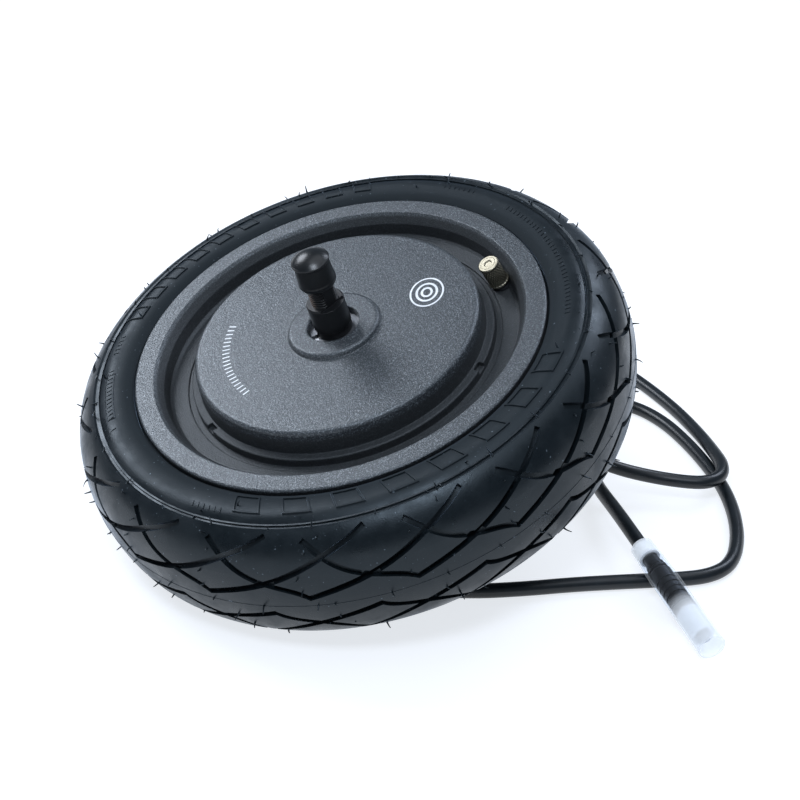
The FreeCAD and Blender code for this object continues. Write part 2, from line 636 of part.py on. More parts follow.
# ================================================================ bearings
def bearing(side, bore_r, outer_r, ball_r, balls, centre_z):
    """Races, balls, cage and seals of one deep groove ball bearing."""
    half = BEARING_WIDTH / 2
    low, high = centre_z - half, centre_z + half
    pitch_r = (bore_r + outer_r) / 2
    land = 0.62 * ball_r
    groove = Part.makeTorus(pitch_r, ball_r + BALL_PLAY, Vector(0, 0, centre_z))
    PARTS[side + "_bearing_inner"] = tube(pitch_r - land, bore_r + FIT, low, high).cut(groove)
    PARTS[side + "_bearing_outer"] = tube(outer_r, pitch_r + land, low, high).cut(groove)
    ball = Part.makeSphere(ball_r, Vector(pitch_r, 0, centre_z))
    PARTS[side + "_bearing_balls"] = Part.makeCompound(around(ball, balls))
    pocket = Part.makeCylinder(ball_r + BALL_PLAY, 8, Vector(pitch_r - 4, 0, centre_z), Vector(1, 0, 0))
    ring = tube(pitch_r + 0.9, pitch_r - 0.9, centre_z - ball_r - 0.8, centre_z + ball_r + 0.8)
    PARTS[side + "_bearing_cage"] = ring.cut(Part.makeCompound(around(pocket, balls)))
    lid = 0.8
    seals = [tube(pitch_r + land - GLUE, pitch_r - land + PLAY, z, z + lid)
             for z in (low + 0.3, high - 0.3 - lid)]
    PARTS[side + "_bearing_seals"] = Part.makeCompound(seals)


# ================================================================ motor
def lamination(low, high, tooth_half, shoe_half, outer_r, yoke_r):
    """The toothed ring of the stator, between two heights."""
    foot_r = outer_r - SHOE_THICK
    points = [
        (STATOR_BORE_R + 2, -tooth_half), (foot_r - 1.2, -tooth_half), (foot_r, -shoe_half),
        (outer_r + 2, -shoe_half), (outer_r + 2, shoe_half), (foot_r, shoe_half),
        (foot_r - 1.2, tooth_half), (STATOR_BORE_R + 2, tooth_half),
    ]
    corners = [Vector(x, y, low) for x, y in points + points[:1]]
    tooth = Part.Face(Part.makePolygon(corners)).extrude(Vector(0, 0, high - low))
    tooth = tooth.common(Part.makeCylinder(outer_r, high - low, Vector(0, 0, low)))
    ring = tube(yoke_r, STATOR_BORE_R + FIT, low, high)
    return ring.multiFuse(around(tooth, SLOTS)).removeSplitter()


def coil_shape():
    """One coil round one tooth: a frame with cut corners, along +X."""
    corner = 1.6
    w, h = COIL_HALF, COIL_END
    loop = [(-w, -h + corner), (-w + corner, -h), (w - corner, -h), (w, -h + corner),
            (w, h - corner), (w - corner, h), (-w + corner, h), (-w, h - corner)]
    corners = [Vector(COIL_IN_R, y, z) for y, z in loop + loop[:1]]
    body = Part.Face(Part.makePolygon(corners)).extrude(Vector(COIL_OUT_R - COIL_IN_R, 0, 0))
    eye_half = TOOTH_HALF + INSULATOR_WALL + 0.1
    eye = block(COIL_IN_R - 1, COIL_OUT_R + 1, eye_half, -INSULATOR_END - 0.1, INSULATOR_END + 0.1)
    return body.cut(eye)


def motor():
    magnet_out_r = STATOR_R + AIR_GAP + MAGNET_THICK
    flux_in_r = magnet_out_r + GLUE
    flux_half = STACK_HALF + MAGNET_OVERHANG + 0.2
    PARTS["flux_ring"] = tube(flux_in_r + FLUX_THICK, flux_in_r, -flux_half, flux_half)
    arc = 360.0 / POLES * MAGNET_FILL
    half = STACK_HALF + MAGNET_OVERHANG
    section = outline((STATOR_R + AIR_GAP, -half), (magnet_out_r, -half), (magnet_out_r, half),
                      (STATOR_R + AIR_GAP, half))
    magnet = Part.Face(section).revolve(Vector(0, 0, 0), Vector(0, 0, 1), arc)
    PARTS["magnets"] = Part.makeCompound(around(magnet, POLES, -arc / 2))

    PARTS["stator_core"] = lamination(-STACK_HALF, STACK_HALF, TOOTH_HALF, SHOE_HALF, STATOR_R, YOKE_R)
    ends = [lamination(low, low + INSULATOR, TOOTH_HALF + INSULATOR_WALL, SHOE_HALF - 0.4,
                       STATOR_R - 0.4, YOKE_R + INSULATOR_WALL)
            for low in (-INSULATOR_END, STACK_HALF)]
    PARTS["slot_insulators"] = Part.makeCompound(ends)
    PARTS["windings"] = Part.makeCompound(around(coil_shape(), SLOTS))


def hub_shape():
    """Spoked carrier between the axle and the stator stack."""
    bore_r = AXLE_BODY_R + FIT
    sleeve_r = AXLE_BODY_R + HUB_SLEEVE_WALL
    rim_in_r = STATOR_BORE_R - HUB_RIM
    rim_half = STACK_HALF - 1.0
    hub = turned(
        (bore_r, HUB_LOW_Z), (sleeve_r, HUB_LOW_Z), (sleeve_r, -HUB_WEB / 2), (rim_in_r, -HUB_WEB / 2),
        (rim_in_r, -rim_half), (STATOR_BORE_R, -rim_half), (STATOR_BORE_R, rim_half),
        (rim_in_r, rim_half), (rim_in_r, HUB_WEB / 2), (sleeve_r, HUB_WEB / 2),
        (sleeve_r, HUB_HIGH_Z), (bore_r, HUB_HIGH_Z),
    )
    hole_at = (sleeve_r + rim_in_r) / 2
    hole = Part.makeCylinder(HUB_HOLE_R, HUB_WEB + 2, Vector(hole_at, 0, -HUB_WEB / 2 - 1))
    keyway = block(AXLE_BODY_R - 2, KEY_OUT_R + 0.2, KEY_WIDTH / 2 + FIT, HUB_LOW_Z - 1, HUB_HIGH_Z + 1)
    return hub.cut(Part.makeCompound(around(hole, HUB_HOLES, 180 / HUB_HOLES) + [spun(keyway, KEY_AZ)]))


def hall_parts():
    """Arc-shaped board behind the end turns, with three sensors that reach the magnets' edge."""
    top = -COIL_END - PLAY
    outer_r = STATOR_R - BOARD_EDGE
    inner_r = outer_r - BOARD_WIDTH
    low = top - BOARD_THICK
    section = outline((inner_r, low), (outer_r, low), (outer_r, top), (inner_r, top))
    board = Part.Face(section).revolve(Vector(0, 0, 0), Vector(0, 0, 1), BOARD_SPAN)
    board_az = EXIT_AZ + 180 - BOARD_SPAN / 2
    PARTS["hall_board"] = spun(board, board_az)
    sensor_r = COIL_OUT_R + SENSOR_GAP
    sensor = block(sensor_r, sensor_r + SENSOR_THICK, SENSOR_WIDTH / 2, top, -INSULATOR_END - PLAY)
    pitch = 360.0 / SLOTS
    first = round((EXIT_AZ + 180) / pitch) + 0.5 - SENSOR_PITCH
    sensors = [spun(sensor, (first + SENSOR_PITCH * i) * pitch) for i in range(3)]
    PARTS["hall_sensors"] = Part.makeCompound(sensors)


def phase_leads():
    """Three insulated leads from the axle's window to the end turns."""
    start_r = COLLAR_R + 1.0
    z0 = WINDOW_Z
    z1 = -INSULATOR_END - LEAD_R - 0.6
    stop_r = COIL_IN_R - 0.1
    pitch = 360.0 / SLOTS
    nearest = round(EXIT_AZ / pitch)
    leads = []
    for i in (-1, 0, 1):
        out = outward(EXIT_AZ)
        side = outward(EXIT_AZ + 90)
        first = out * start_r + side * (i * (2 * LEAD_R + 0.1)) + Vector(0, 0, z0)
        second = first + out * 8
        end_out = outward((nearest + i) * pitch)
        fourth = end_out * stop_r + Vector(0, 0, z1)
        third = end_out * (stop_r - 7) + Vector(0, 0, z1)
        leads.append(rounded_tube([first, second, third, fourth], LEAD_R)[0])
    PARTS["phase_leads"] = Part.makeCompound(leads)


# ================================================================ axle
def axle_shape():
    clip_low = FRONT_SEAT_Z
    chamfer = THREAD_CHAMFER
    axle = turned(
        (0, -REAR_END_Z),
        (TIP_R, -REAR_END_Z),
        (REAR_THREAD_R, -REAR_END_Z + chamfer),
        (REAR_THREAD_R, -REAR_THREAD_Z),
        (REAR_SHANK_R, -REAR_THREAD_Z),
        (REAR_SHANK_R, -SHOULDER_Z),
        (REAR_BORE_R - 0.6, -SHOULDER_Z),
        (REAR_BORE_R, -SHOULDER_Z + 0.6),
        (REAR_BORE_R, COLLAR_LOW_Z),
        (COLLAR_R, COLLAR_LOW_Z),
        (COLLAR_R, HUB_LOW_Z),
        (AXLE_BODY_R, HUB_LOW_Z),
        (AXLE_BODY_R, HUB_HIGH_Z),
        (FRONT_BORE_R, HUB_HIGH_Z),
        (FRONT_BORE_R, clip_low),
        (FRONT_BORE_R - CLIP_GROOVE, clip_low),
        (FRONT_BORE_R - CLIP_GROOVE, clip_low + CLIP_THICK + CLIP_PLAY),
        (FRONT_BORE_R - NECK_DEPTH, clip_low + CLIP_THICK + CLIP_PLAY),
        (FRONT_BORE_R - NECK_DEPTH, BOSS_Z + NECK_BEYOND),
        (FRONT_BORE_R, BOSS_Z + NECK_BEYOND),
        (FRONT_BORE_R, SHOULDER_Z - 0.6),
        (FRONT_BORE_R - 0.6, SHOULDER_Z),
        (FRONT_THREAD_R, SHOULDER_Z),
        (FRONT_THREAD_R, FRONT_END_Z - chamfer),
        (FRONT_THREAD_R - chamfer, FRONT_END_Z),
        (0, FRONT_END_Z),
    )
    cuts = []
    wide = REAR_BORE_R + 1
    front_flat = block(FLAT_HALF, wide, wide, SHOULDER_Z - FLAT_RUN, SHOULDER_Z + FLAT_LENGTH)
    low = -SHOULDER_Z - FLAT_LENGTH
    rear_flat = block(REAR_SHANK_R - FLAT_DEPTH, wide, wide, low, -SHOULDER_Z + FLAT_RUN)
    for flat in (front_flat, rear_flat):
        cuts += [spun(flat, FLAT_AZ), spun(flat, FLAT_AZ + 180)]
    out = outward(EXIT_AZ)
    cuts.append(Part.makeCylinder(CHANNEL_R, WINDOW_Z - EXIT_Z, Vector(0, 0, EXIT_Z)))
    cuts.append(Part.makeSphere(CHANNEL_R, Vector(0, 0, WINDOW_Z)))
    cuts.append(Part.makeCylinder(WINDOW_R, COLLAR_R + 2, Vector(0, 0, WINDOW_Z), out))
    cuts.append(Part.makeCylinder(EXIT_R, REAR_BORE_R + 2, Vector(0, 0, EXIT_Z), out))
    key_top = KEY_LOW_Z + KEY_LENGTH
    keyway = block(KEY_IN_R - GLUE, AXLE_BODY_R + 1, KEY_WIDTH / 2 + FIT, KEY_LOW_Z - FIT, key_top + FIT)
    cuts.append(spun(keyway, KEY_AZ))
    return axle.cut(Part.makeCompound(cuts))


def axle_parts():
    PARTS["axle"] = axle_shape()
    key = block(KEY_IN_R, KEY_OUT_R, KEY_WIDTH / 2, KEY_LOW_Z, KEY_LOW_Z + KEY_LENGTH)
    PARTS["axle_key"] = spun(key, KEY_AZ)
    PARTS["stator_hub"] = hub_shape()
    bearing_low = FRONT_SEAT_Z - BEARING_WIDTH
    PARTS["front_spacer"] = tube(AXLE_BODY_R, FRONT_BORE_R + FIT, HUB_HIGH_Z, bearing_low)
    clip = tube(CLIP_R, FRONT_BORE_R - CLIP_GROOVE + FIT, FRONT_SEAT_Z + FIT, FRONT_SEAT_Z + CLIP_THICK)
    PARTS["front_circlip"] = spun(clip.cut(block(0, CLIP_R + 1, CLIP_OPENING / 2, 0, SHOULDER_Z)), 160)
    PARTS["rear_shaft_seal"] = turned_over(turned(
        (SEAL_R, BOSS_Z - 0.3), (SEAL_R, BOSS_Z - 0.3 - SEAL_WIDTH),
        (REAR_BORE_R + 3.2, BOSS_Z - 0.3 - SEAL_WIDTH), (REAR_BORE_R + 3.2, BOSS_Z - 2.2),
        (REAR_BORE_R + RUN, BOSS_Z - 2.8), (REAR_BORE_R + RUN, BOSS_Z - 1.6),
        (REAR_BORE_R + 1.4, BOSS_Z - 0.3),
    ))
    out = outward(EXIT_AZ)
    inside = 0.15
    bundle = Part.makeCylinder(CHANNEL_R - inside, WINDOW_Z - EXIT_Z - EXIT_R, Vector(0, 0, EXIT_Z + EXIT_R))
    bundle = bundle.fuse(Part.makeSphere(CHANNEL_R - inside, Vector(0, 0, WINDOW_Z)))
    bundle = bundle.fuse(Part.makeCylinder(WINDOW_R - inside, COLLAR_R + 1, Vector(0, 0, WINDOW_Z), out))
    PARTS["lead_bundle"] = bundle.removeSplitter()
    PARTS["axle_cap"] = cap_shape()


def cap_shape():
    """Soft cap pushed over the thread, with a rolled edge under its domed top."""
    top_z = CAP_EDGE_Z + CAP_DOME
    lip = CAP_LIP_R
    sag = (lip - 0.5) ** 2 / (2 * CAP_DOME) + CAP_DOME / 2
    mid_r = (lip - 0.5) / 2
    mid_z = top_z - sag + math.sqrt(sag * sag - mid_r * mid_r)
    return turned(
        (0, top_z),
        ((mid_r, mid_z), (lip - 0.5, CAP_EDGE_Z)),
        ((lip, CAP_EDGE_Z - 0.7), (lip - 0.6, CAP_EDGE_Z - 1.3)),
        (CAP_OUTER_R - 0.3, CAP_EDGE_Z - 1.9),
        (CAP_OUTER_R + 0.2, CAP_START_Z + 3.0),
        ((CAP_OUTER_R, CAP_START_Z + 0.8), (CAP_OUTER_R - 0.6, CAP_START_Z)),
        (CAP_BORE_R, CAP_START_Z),
        (CAP_BORE_R, FRONT_END_Z + PLAY),
        (0, FRONT_END_Z + PLAY),
    )


# ================================================================ air valve
def valve_frame():
    """Placement of the valve: its Z runs along the valve from the rim's inner skin to the cap."""
    base_z = WELL_HALF + (VALVE_BASE_R - WELL_R) * LEAN_TAN
    tilt = Rotation(Vector(0, 1, 0), -VALVE_LEAN)
    spin = Rotation(Vector(0, 0, 1), VALVE_AZ)
    base = spin.multVec(Vector(VALVE_BASE_R, 0, base_z))
    return Placement(base, spin.multiply(tilt))


def in_valve_frame(shape):
    return shape.transformed(valve_frame().toMatrix())


def valve_cylinder(radius, low, high):
    return in_valve_frame(Part.makeCylinder(radius, high - low, Vector(0, 0, low)))


def valve_parts():
    bore_r = STEM_R + GLUE
    PARTS["valve_grommet"] = in_valve_frame(turned(
        (bore_r, -PLAY - GROMMET_FLANGE), (GROMMET_FLANGE_R, -PLAY - GROMMET_FLANGE),
        (GROMMET_FLANGE_R, -PLAY), (GROMMET_R, -PLAY), (GROMMET_R, STEM_STEP - 1.6),
        (STEM_R + 0.8, STEM_STEP - 0.1), (bore_r, STEM_STEP - 0.1),
    ))
    PARTS["valve_stem"] = in_valve_frame(turned(
        (STEM_BORE_R, -GROMMET_FLANGE), (STEM_R, -GROMMET_FLANGE), (STEM_R, STEM_STEP),
        (STEM_THREAD_R, STEM_STEP), (STEM_THREAD_R, STEM_TOP - 0.5), (STEM_THREAD_R - 0.5, STEM_TOP),
        (STEM_BORE_R, STEM_TOP),
    ))
    core_r = STEM_BORE_R - GLUE
    PARTS["valve_core"] = in_valve_frame(turned(
        (CORE_PIN_R + 0.1, STEM_STEP), (core_r, STEM_STEP), (core_r, STEM_TOP - 1.0),
        (CORE_PIN_R + 0.1, STEM_TOP - 1.0),
    ))
    PARTS["valve_pin"] = in_valve_frame(turned(
        (0, STEM_STEP - 1.4), (core_r - 0.3, STEM_STEP - 1.4), (core_r - 0.3, STEM_STEP - 0.1),
        (CORE_PIN_R, STEM_STEP - 0.1), (CORE_PIN_R, STEM_TOP - 0.2), (0, STEM_TOP - 0.2),
    ))
    inner_r = VALVE_CAP_BORE_R
    roof = STEM_TOP + VALVE_CAP_LIFT
    PARTS["valve_cap"] = in_valve_frame(turned(
        (inner_r, VALVE_CAP_START), (VALVE_CAP_R - 0.3, VALVE_CAP_START),
        (VALVE_CAP_R, VALVE_CAP_START + 0.3), (VALVE_CAP_R, VALVE_CAP_TOP - 0.6),
        (VALVE_CAP_R - 0.6, VALVE_CAP_TOP), (0, VALVE_CAP_TOP), (0, roof), (inner_r, roof),
    ))


# ================================================================ resting pose
def exit_frame():
    """Where the cable leaves the axle, and its direction, in the resting frame."""
    return RESTING.multVec(Vector(0, 0, EXIT_Z)), RESTING.Rotation.multVec(outward(EXIT_AZ))


# ================================================================ cable and plug
def rounded_tube(points, radius):
    """A tube along straight runs joined by tangent arcs. Returns the solid, its length and the arc radii."""
    edges = []
    radii = []
    here = points[0]
    for before, corner, after in zip(points, points[1:], points[2:]):
        run_in, run_out = (corner - before), (after - corner)
        turn = run_in.getAngle(run_out)
        reach = 0.45 * min(run_in.Length, run_out.Length)
        radii.append(reach / math.tan(turn / 2))
        a = corner - run_in.normalize() * reach
        b = corner + run_out.normalize() * reach
        middle = (a + b) * 0.5
        inward = middle - corner
        # the arc's own middle lies on the line from the corner to the chord's middle
        depth = radii[-1] * (1 / math.cos(turn / 2) - 1)
        top = corner + inward.normalize() * depth
        edges.append(Part.LineSegment(here, a).toShape())
        edges.append(Part.Arc(a, top, b).toShape())
        here = b
    edges.append(Part.LineSegment(here, points[-1]).toShape())
    path = Part.Wire(edges)
    start_circle = Part.makeCircle(radius, points[0], points[1] - points[0])
    solid = path.makePipeShell([Part.Wire([start_circle])], True, True)
    return solid, path.Length, radii


def cable_points():
    """The cable's route over the floor, from inside the boot to inside the plug."""
    start, out = exit_frame()
    near, along = plug_axis()
    rear = near + along * PLUG_START
    lying = [
        (62, -50, 35.5), (78, -66.5, 26.5), (93, -82, 16.5), (104.5, -95, 12), (113.5, -108.5, 10.7),
        (120.5, -117, 10.7), (130.5, -118.2, 10.7), (139.5, -113, 10.7), (150.5, -101.5, 8.4),
        (165.5, -84.5, 4.9), (181, -61, 3.3), (192, -37, 3.3), (201, -12, 3.3), (206.5, 13, 3.3),
        (205, 40, 3.3), (194, 65, 3.3), (171, 80, 3.3), (144, 78, 3.3), (124, 60, 3.3), (119, 33, 3.3),
        (130, 9, 3.3), (150, -4, 3.3), (166, -21.5, 3.3), (171.5, -40, 3.3), (168, -59, 3.3),
        (159.5, -77.5, 3.3), (148, -97, 3.3), (134.5, -116.5, 3.3), (119.5, -132, 3.3), (105, -143.5, 3.3),
        (94.5, -150, 3.3), (84, -155, 3.3), (73.5, -157, 3.3), (63, -154.2, 3.3), (53, -146.7, 3.3),
        (36, -131.2, 3.3), (18, -115.3, 3.3), (1, -102, 3.3), (-18, -85, 3.3), (-35, -61, 3.3),
        (-46, -32, 3.3), (-47, -1, 3.3), (-36, 28, 3.3), (-13, 51, 3.3), (18, 63, 3.3), (52, 63, 3.3),
        (84, 50, 3.3), (109, 27, 3.3), (121, -2, 3.3), (119, -31, 3.3), (106, -54, 4.5), (92, -70, 7.5),
        (80.5, -82.5, 10.4), (67.5, -101, 13),
    ]
    first = [start + out * (BOOT_LENGTH - CABLE_SEAT), start + out * (BOOT_LENGTH + CABLE_SEAT)]
    last = [rear - along * 16, rear + along * PLUG_SEAT]
    return first + [Vector(*p) for p in lying] + last


def plug_axis():
    """The guard's near end and the direction from the cable towards the plug's face."""
    along = GUARD_FAR - GUARD_NEAR
    return GUARD_NEAR, along.normalize()


def on_plug_axis(shape):
    """Moves a shape made along +Z from the guard's near end to its place on the floor."""
    near, along = plug_axis()
    return shape.transformed(Placement(near, Rotation(Vector(0, 0, 1), along)).toMatrix())


def lying_cylinder(radius):
    """A round bar along X, as wide as the boot."""
    return Part.makeCylinder(radius, 4 * BOOT_R, Vector(-2 * BOOT_R, 0, 0), Vector(1, 0, 0))


def boot_shape():
    """Rubber strain relief: a neck in the axle's slot and a tapered boot outside it."""
    neck = Part.makeCylinder(EXIT_R - GLUE, REAR_BORE_R, Vector(0, 0, 0))
    neck = neck.cut(lying_cylinder(CHANNEL_R + 0.6))
    cone = turned(
        (0, REAR_BORE_R - 3), (BOOT_R, REAR_BORE_R - 3), (BOOT_R, REAR_BORE_R + 3.5),
        (BOOT_R - 0.6, REAR_BORE_R + 4.5), (BOOT_TIP_R, BOOT_LENGTH - 0.6), (BOOT_TIP_R - 0.5, BOOT_LENGTH),
        (0, BOOT_LENGTH),
    )
    # the foot of the boot is hollowed to sit on the round axle
    cone = cone.cut(lying_cylinder(REAR_BORE_R + GLUE))
    boot = cone.fuse(neck)
    boot = boot.cut(Part.makeCylinder(CABLE_R + GLUE, CABLE_SEAT + 1, Vector(0, 0, BOOT_LENGTH - CABLE_SEAT)))
    return boot


def cable_parts():
    out = outward(EXIT_AZ)
    across = Vector(0, 0, 1)
    side = across.cross(out)
    # X along the axle, Y across it and Z outwards
    frame = FreeCAD.Matrix(across.x, side.x * -1, out.x, 0, across.y, side.y * -1, out.y, 0,
                           across.z, side.z * -1, out.z, EXIT_Z, 0, 0, 0, 1)
    PARTS["cable_grommet"] = boot_shape().transformed(frame)
    points = cable_points()
    solid, length, radii = rounded_tube(points, CABLE_R)
    share = solid.Volume / (math.pi * CABLE_R ** 2 * length)
    print("cable length", round(length, 1), "volume over section times length", round(share, 4))
    print("cable arc radii", [round(r, 1) for r in radii])
    return solid


def plug_parts():
    """Round motor plug: stepped and ribbed grip, keyed shell, insert and pins, in a soft clear guard."""
    face = PLUG_START + PLUG_LENGTH
    length = (GUARD_FAR - GUARD_NEAR).Length
    step = (PLUG_R - PLUG_NECK_R) / (COLLARS + 1)
    steps = []
    for i in range(COLLARS):
        low = PLUG_START + 5.0 + 2.2 * i
        radius = PLUG_NECK_R + step * (i + 1)
        steps += [(radius, low), (radius, low + 1.5), (radius - step, low + 1.5), (radius - step, low + 2.2)]
    grip_start = PLUG_START + 5.0 + 2.2 * COLLARS
    grip = turned(
        (0, PLUG_START), (PLUG_NECK_R - 0.4, PLUG_START), (PLUG_NECK_R, PLUG_START + 5.0), *steps,
        (PLUG_R - 0.5, grip_start), (PLUG_R, grip_start + 1.0), (PLUG_R, face), (0, face),
    )
    seat = Part.makeCylinder(CABLE_R + GLUE, PLUG_SEAT + 1, Vector(0, 0, PLUG_START - 1))
    grooves = [tube(PLUG_R + 1, PLUG_R - RIB_DEPTH, z, z + 0.9)
               for z in [PLUG_START + RIB_START + RIB_PITCH * i for i in range(RIBS)]]
    PARTS["plug_body"] = on_plug_axis(grip.cut(Part.makeCompound([seat] + grooves)))

    bore_r = PLUG_R - PLUG_SHELL_WALL
    shell = tube(PLUG_R, bore_r, face, face + PLUG_SHELL)
    key = block(bore_r - PLUG_KEY, bore_r + 0.3, 0.7, face, face + PLUG_SHELL - 1.0)
    PARTS["plug_shell"] = on_plug_axis(shell.fuse(key).removeSplitter())
    insert = Part.makeCylinder(bore_r - PLUG_KEY - GLUE, PLUG_INSERT, Vector(0, 0, face))
    pins = []
    for count, pin_r, ring_r in ((3, PHASE_PIN_R, 1.1), (5, HALL_PIN_R, 2.4)):
        pin = Part.makeCylinder(pin_r, PIN_LENGTH + 2.0, Vector(ring_r, 0, face + PLUG_INSERT - 2.0))
        pins += around(pin, count)
    PARTS["plug_insert"] = on_plug_axis(insert.cut(Part.makeCompound(pins)))
    PARTS["plug_pins"] = on_plug_axis(Part.makeCompound(pins))

    PARTS["plug_guard"] = on_plug_axis(turned(
        (guard_bore(0), 0), (GUARD_NECK_R, 0), (GUARD_R, GUARD_TAPER), (GUARD_R, length),
        (GUARD_R - GUARD_WALL, length), (GUARD_R - GUARD_WALL, GUARD_TAPER),
    ))
    low, high = 0.6, PLUG_START - 0.3
    PARTS["guard_bush"] = on_plug_axis(turned(
        (CABLE_R + PLAY, low), (guard_bore(low) - GLUE, low), (guard_bore(high) - GLUE, high),
        (CABLE_R + PLAY, high),
    ))


def guard_bore(along):
    """Inner radius of the guard on its tapered stretch."""
    return GUARD_NECK_R - GUARD_WALL + (GUARD_R - GUARD_NECK_R) * along / GUARD_TAPER


# ================================================================ build
def build():
    PARTS["tyre"] = tyre_shape()
    PARTS["rim_drum"] = rim_drum_shape()
    PARTS["front_cover"] = front_cover_shape()
    PARTS["front_cover_seal"] = Part.makeTorus(RING_SEAT_R, RING_R, Vector(0, 0, MOUTH_Z + RING_R + FIT))
    PARTS["rear_cover"] = rear_cover_shape()
    PARTS["rear_cover_gasket"] = gasket_shape()
    PARTS["cover_screws"] = screw_shapes()
    motor()
    bearing("front", FRONT_BORE_R, FRONT_OUTER_R, FRONT_BALL_R, FRONT_BALLS, FRONT_BEARING_Z)
    bearing("rear", REAR_BORE_R, REAR_OUTER_R, REAR_BALL_R, REAR_BALLS, REAR_BEARING_Z)
    hall_parts()
    axle_parts()
    phase_leads()
    valve_parts()
    cable = cable_parts()
    for name in list(PARTS):
        PARTS[name] = PARTS[name].transformed(RESTING.toMatrix())
    PARTS["cable"] = cable
    plug_parts()
    for name, shape in PARTS.items():
        shape.exportStep("parts/" + name + ".step")
    print(len(PARTS), "nodes, tilt", round(math.degrees(TILT), 3), "lift", round(LIFT, 3))


build()
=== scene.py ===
# %% [markdown]
# # A hub motor wheel, dressed
# The wheel of an electric scooter carries its motor inside: the rim is the motor's turning drum, and
# the axle and its cable stay still. The solids come from a CAD frame that this file never changes.
# What is added here is the look: finishes, the whiskers that a tyre keeps from its mould, the printed
# marks, the knurled valve cap, and the cable as one smooth flexible line.

# %% Load the frame
import json
import math

import bmesh
import bpy
import numpy as np
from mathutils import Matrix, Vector
from mathutils.bvhtree import BVHTree


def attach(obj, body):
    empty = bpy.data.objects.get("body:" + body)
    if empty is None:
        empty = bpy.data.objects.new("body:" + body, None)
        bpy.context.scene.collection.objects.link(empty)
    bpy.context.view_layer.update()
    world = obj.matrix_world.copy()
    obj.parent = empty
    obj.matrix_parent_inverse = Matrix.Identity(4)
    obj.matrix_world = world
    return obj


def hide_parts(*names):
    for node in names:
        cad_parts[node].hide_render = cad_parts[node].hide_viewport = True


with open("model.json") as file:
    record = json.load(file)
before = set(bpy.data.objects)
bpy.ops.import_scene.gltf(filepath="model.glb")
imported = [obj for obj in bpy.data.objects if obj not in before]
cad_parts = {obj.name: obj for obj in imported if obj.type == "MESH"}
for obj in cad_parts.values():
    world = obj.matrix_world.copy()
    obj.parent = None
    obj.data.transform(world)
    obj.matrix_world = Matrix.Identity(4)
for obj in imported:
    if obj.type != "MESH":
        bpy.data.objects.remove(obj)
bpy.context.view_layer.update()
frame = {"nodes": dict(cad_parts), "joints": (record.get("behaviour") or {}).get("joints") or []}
MM = 0.001

# %% [markdown]
# ## Colours and nodes
# Colours are written as they look on a screen, so one function turns them to the linear values that
# the renderer adds up. One more small function adds a shader node: its settings are plain
# properties, and each of its sockets gets either a value or the output of another node.


# %% Helpers for colours and nodes
def linear(code):
    """sRGB hex to linear: c / 12.92 below 0.04045, and ((c + 0.055) / 1.055) to the power 2.4 above."""
    channels = np.array([int(code[i:i + 2], 16) for i in (1, 3, 5)]) / 255
    low = channels / 12.92
    high = ((channels + 0.055) / 1.055) ** 2.4
    return (*np.where(channels < 0.04045, low, high).tolist(), 1.0)


def add(tree, kind, inputs=None, **settings):
    """Adds one shader node and returns it."""
    node = tree.nodes.new("ShaderNode" + kind)
    for key, value in settings.items():
        setattr(node, key, value)
    for key, value in (inputs or {}).items():
        if isinstance(value, bpy.types.NodeSocket):
            tree.links.new(value, node.inputs[key])
        else:
            node.inputs[key].default_value = value
    return node


def empty_material(name):
    """A material whose nodes are all cleared away: returns the material and its tree."""
    material = bpy.data.materials.new(name)
    material.use_nodes = True
    material.node_tree.nodes.clear()
    return material, material.node_tree


def per_size(millimetres):
    """The scale of a texture whose features are this large: one over the size in metres."""
    return 1000.0 / millimetres


# %% [markdown]
# ## The table, the light and the camera
# The wheel lies on a seamless white table under large soft lamps. The table shows itself to the
# camera as nearly white, and still darkens a little where the wheel keeps the light off it: part of
# its brightness is its own and part is reflected. Reflections see the same white table, and the
# background behind it has the table's own colour, so its far edge is faint where it shows at all. The
# light that falls on the wheel comes from the lamps, from a dim bluish room, and from the table, which
# is plain pale grey for it.

# %% Camera
CAMERA_PLACE = (-0.4276, -0.4304, 0.3819)
CAMERA_AZIMUTH = -46.76
CAMERA_ELEVATION = 28.0
SENSOR = 36.0
LENS = 67.5

scene = bpy.context.scene
scene.view_settings.view_transform = "Standard"
camera_data = bpy.data.cameras.new("camera")
camera_data.lens = LENS
camera_data.sensor_width = SENSOR
camera_data.clip_start = 0.02
camera_data.clip_end = 20.0
camera = bpy.data.objects.new("camera", camera_data)
camera.location = CAMERA_PLACE
camera.rotation_euler = (math.radians(90 - CAMERA_ELEVATION), 0, math.radians(CAMERA_AZIMUTH))
scene.collection.objects.link(camera)
scene.camera = camera
print("camera at", CAMERA_PLACE, "with a lens of", LENS)

# %% Table
TABLE_HALF = 6.0
TABLE_DROP = 0.0002  # a hair below the wheel, so that no two faces lie in one plane
table_mesh = bpy.data.meshes.new("table")
corners = [(x * TABLE_HALF, y * TABLE_HALF, -TABLE_DROP) for x, y in ((-1, -1), (1, -1), (1, 1), (-1, 1))]
table_mesh.from_pydata(corners, [], [(0, 1, 2, 3)])
table = bpy.data.objects.new("table", table_mesh)
scene.collection.objects.link(table)

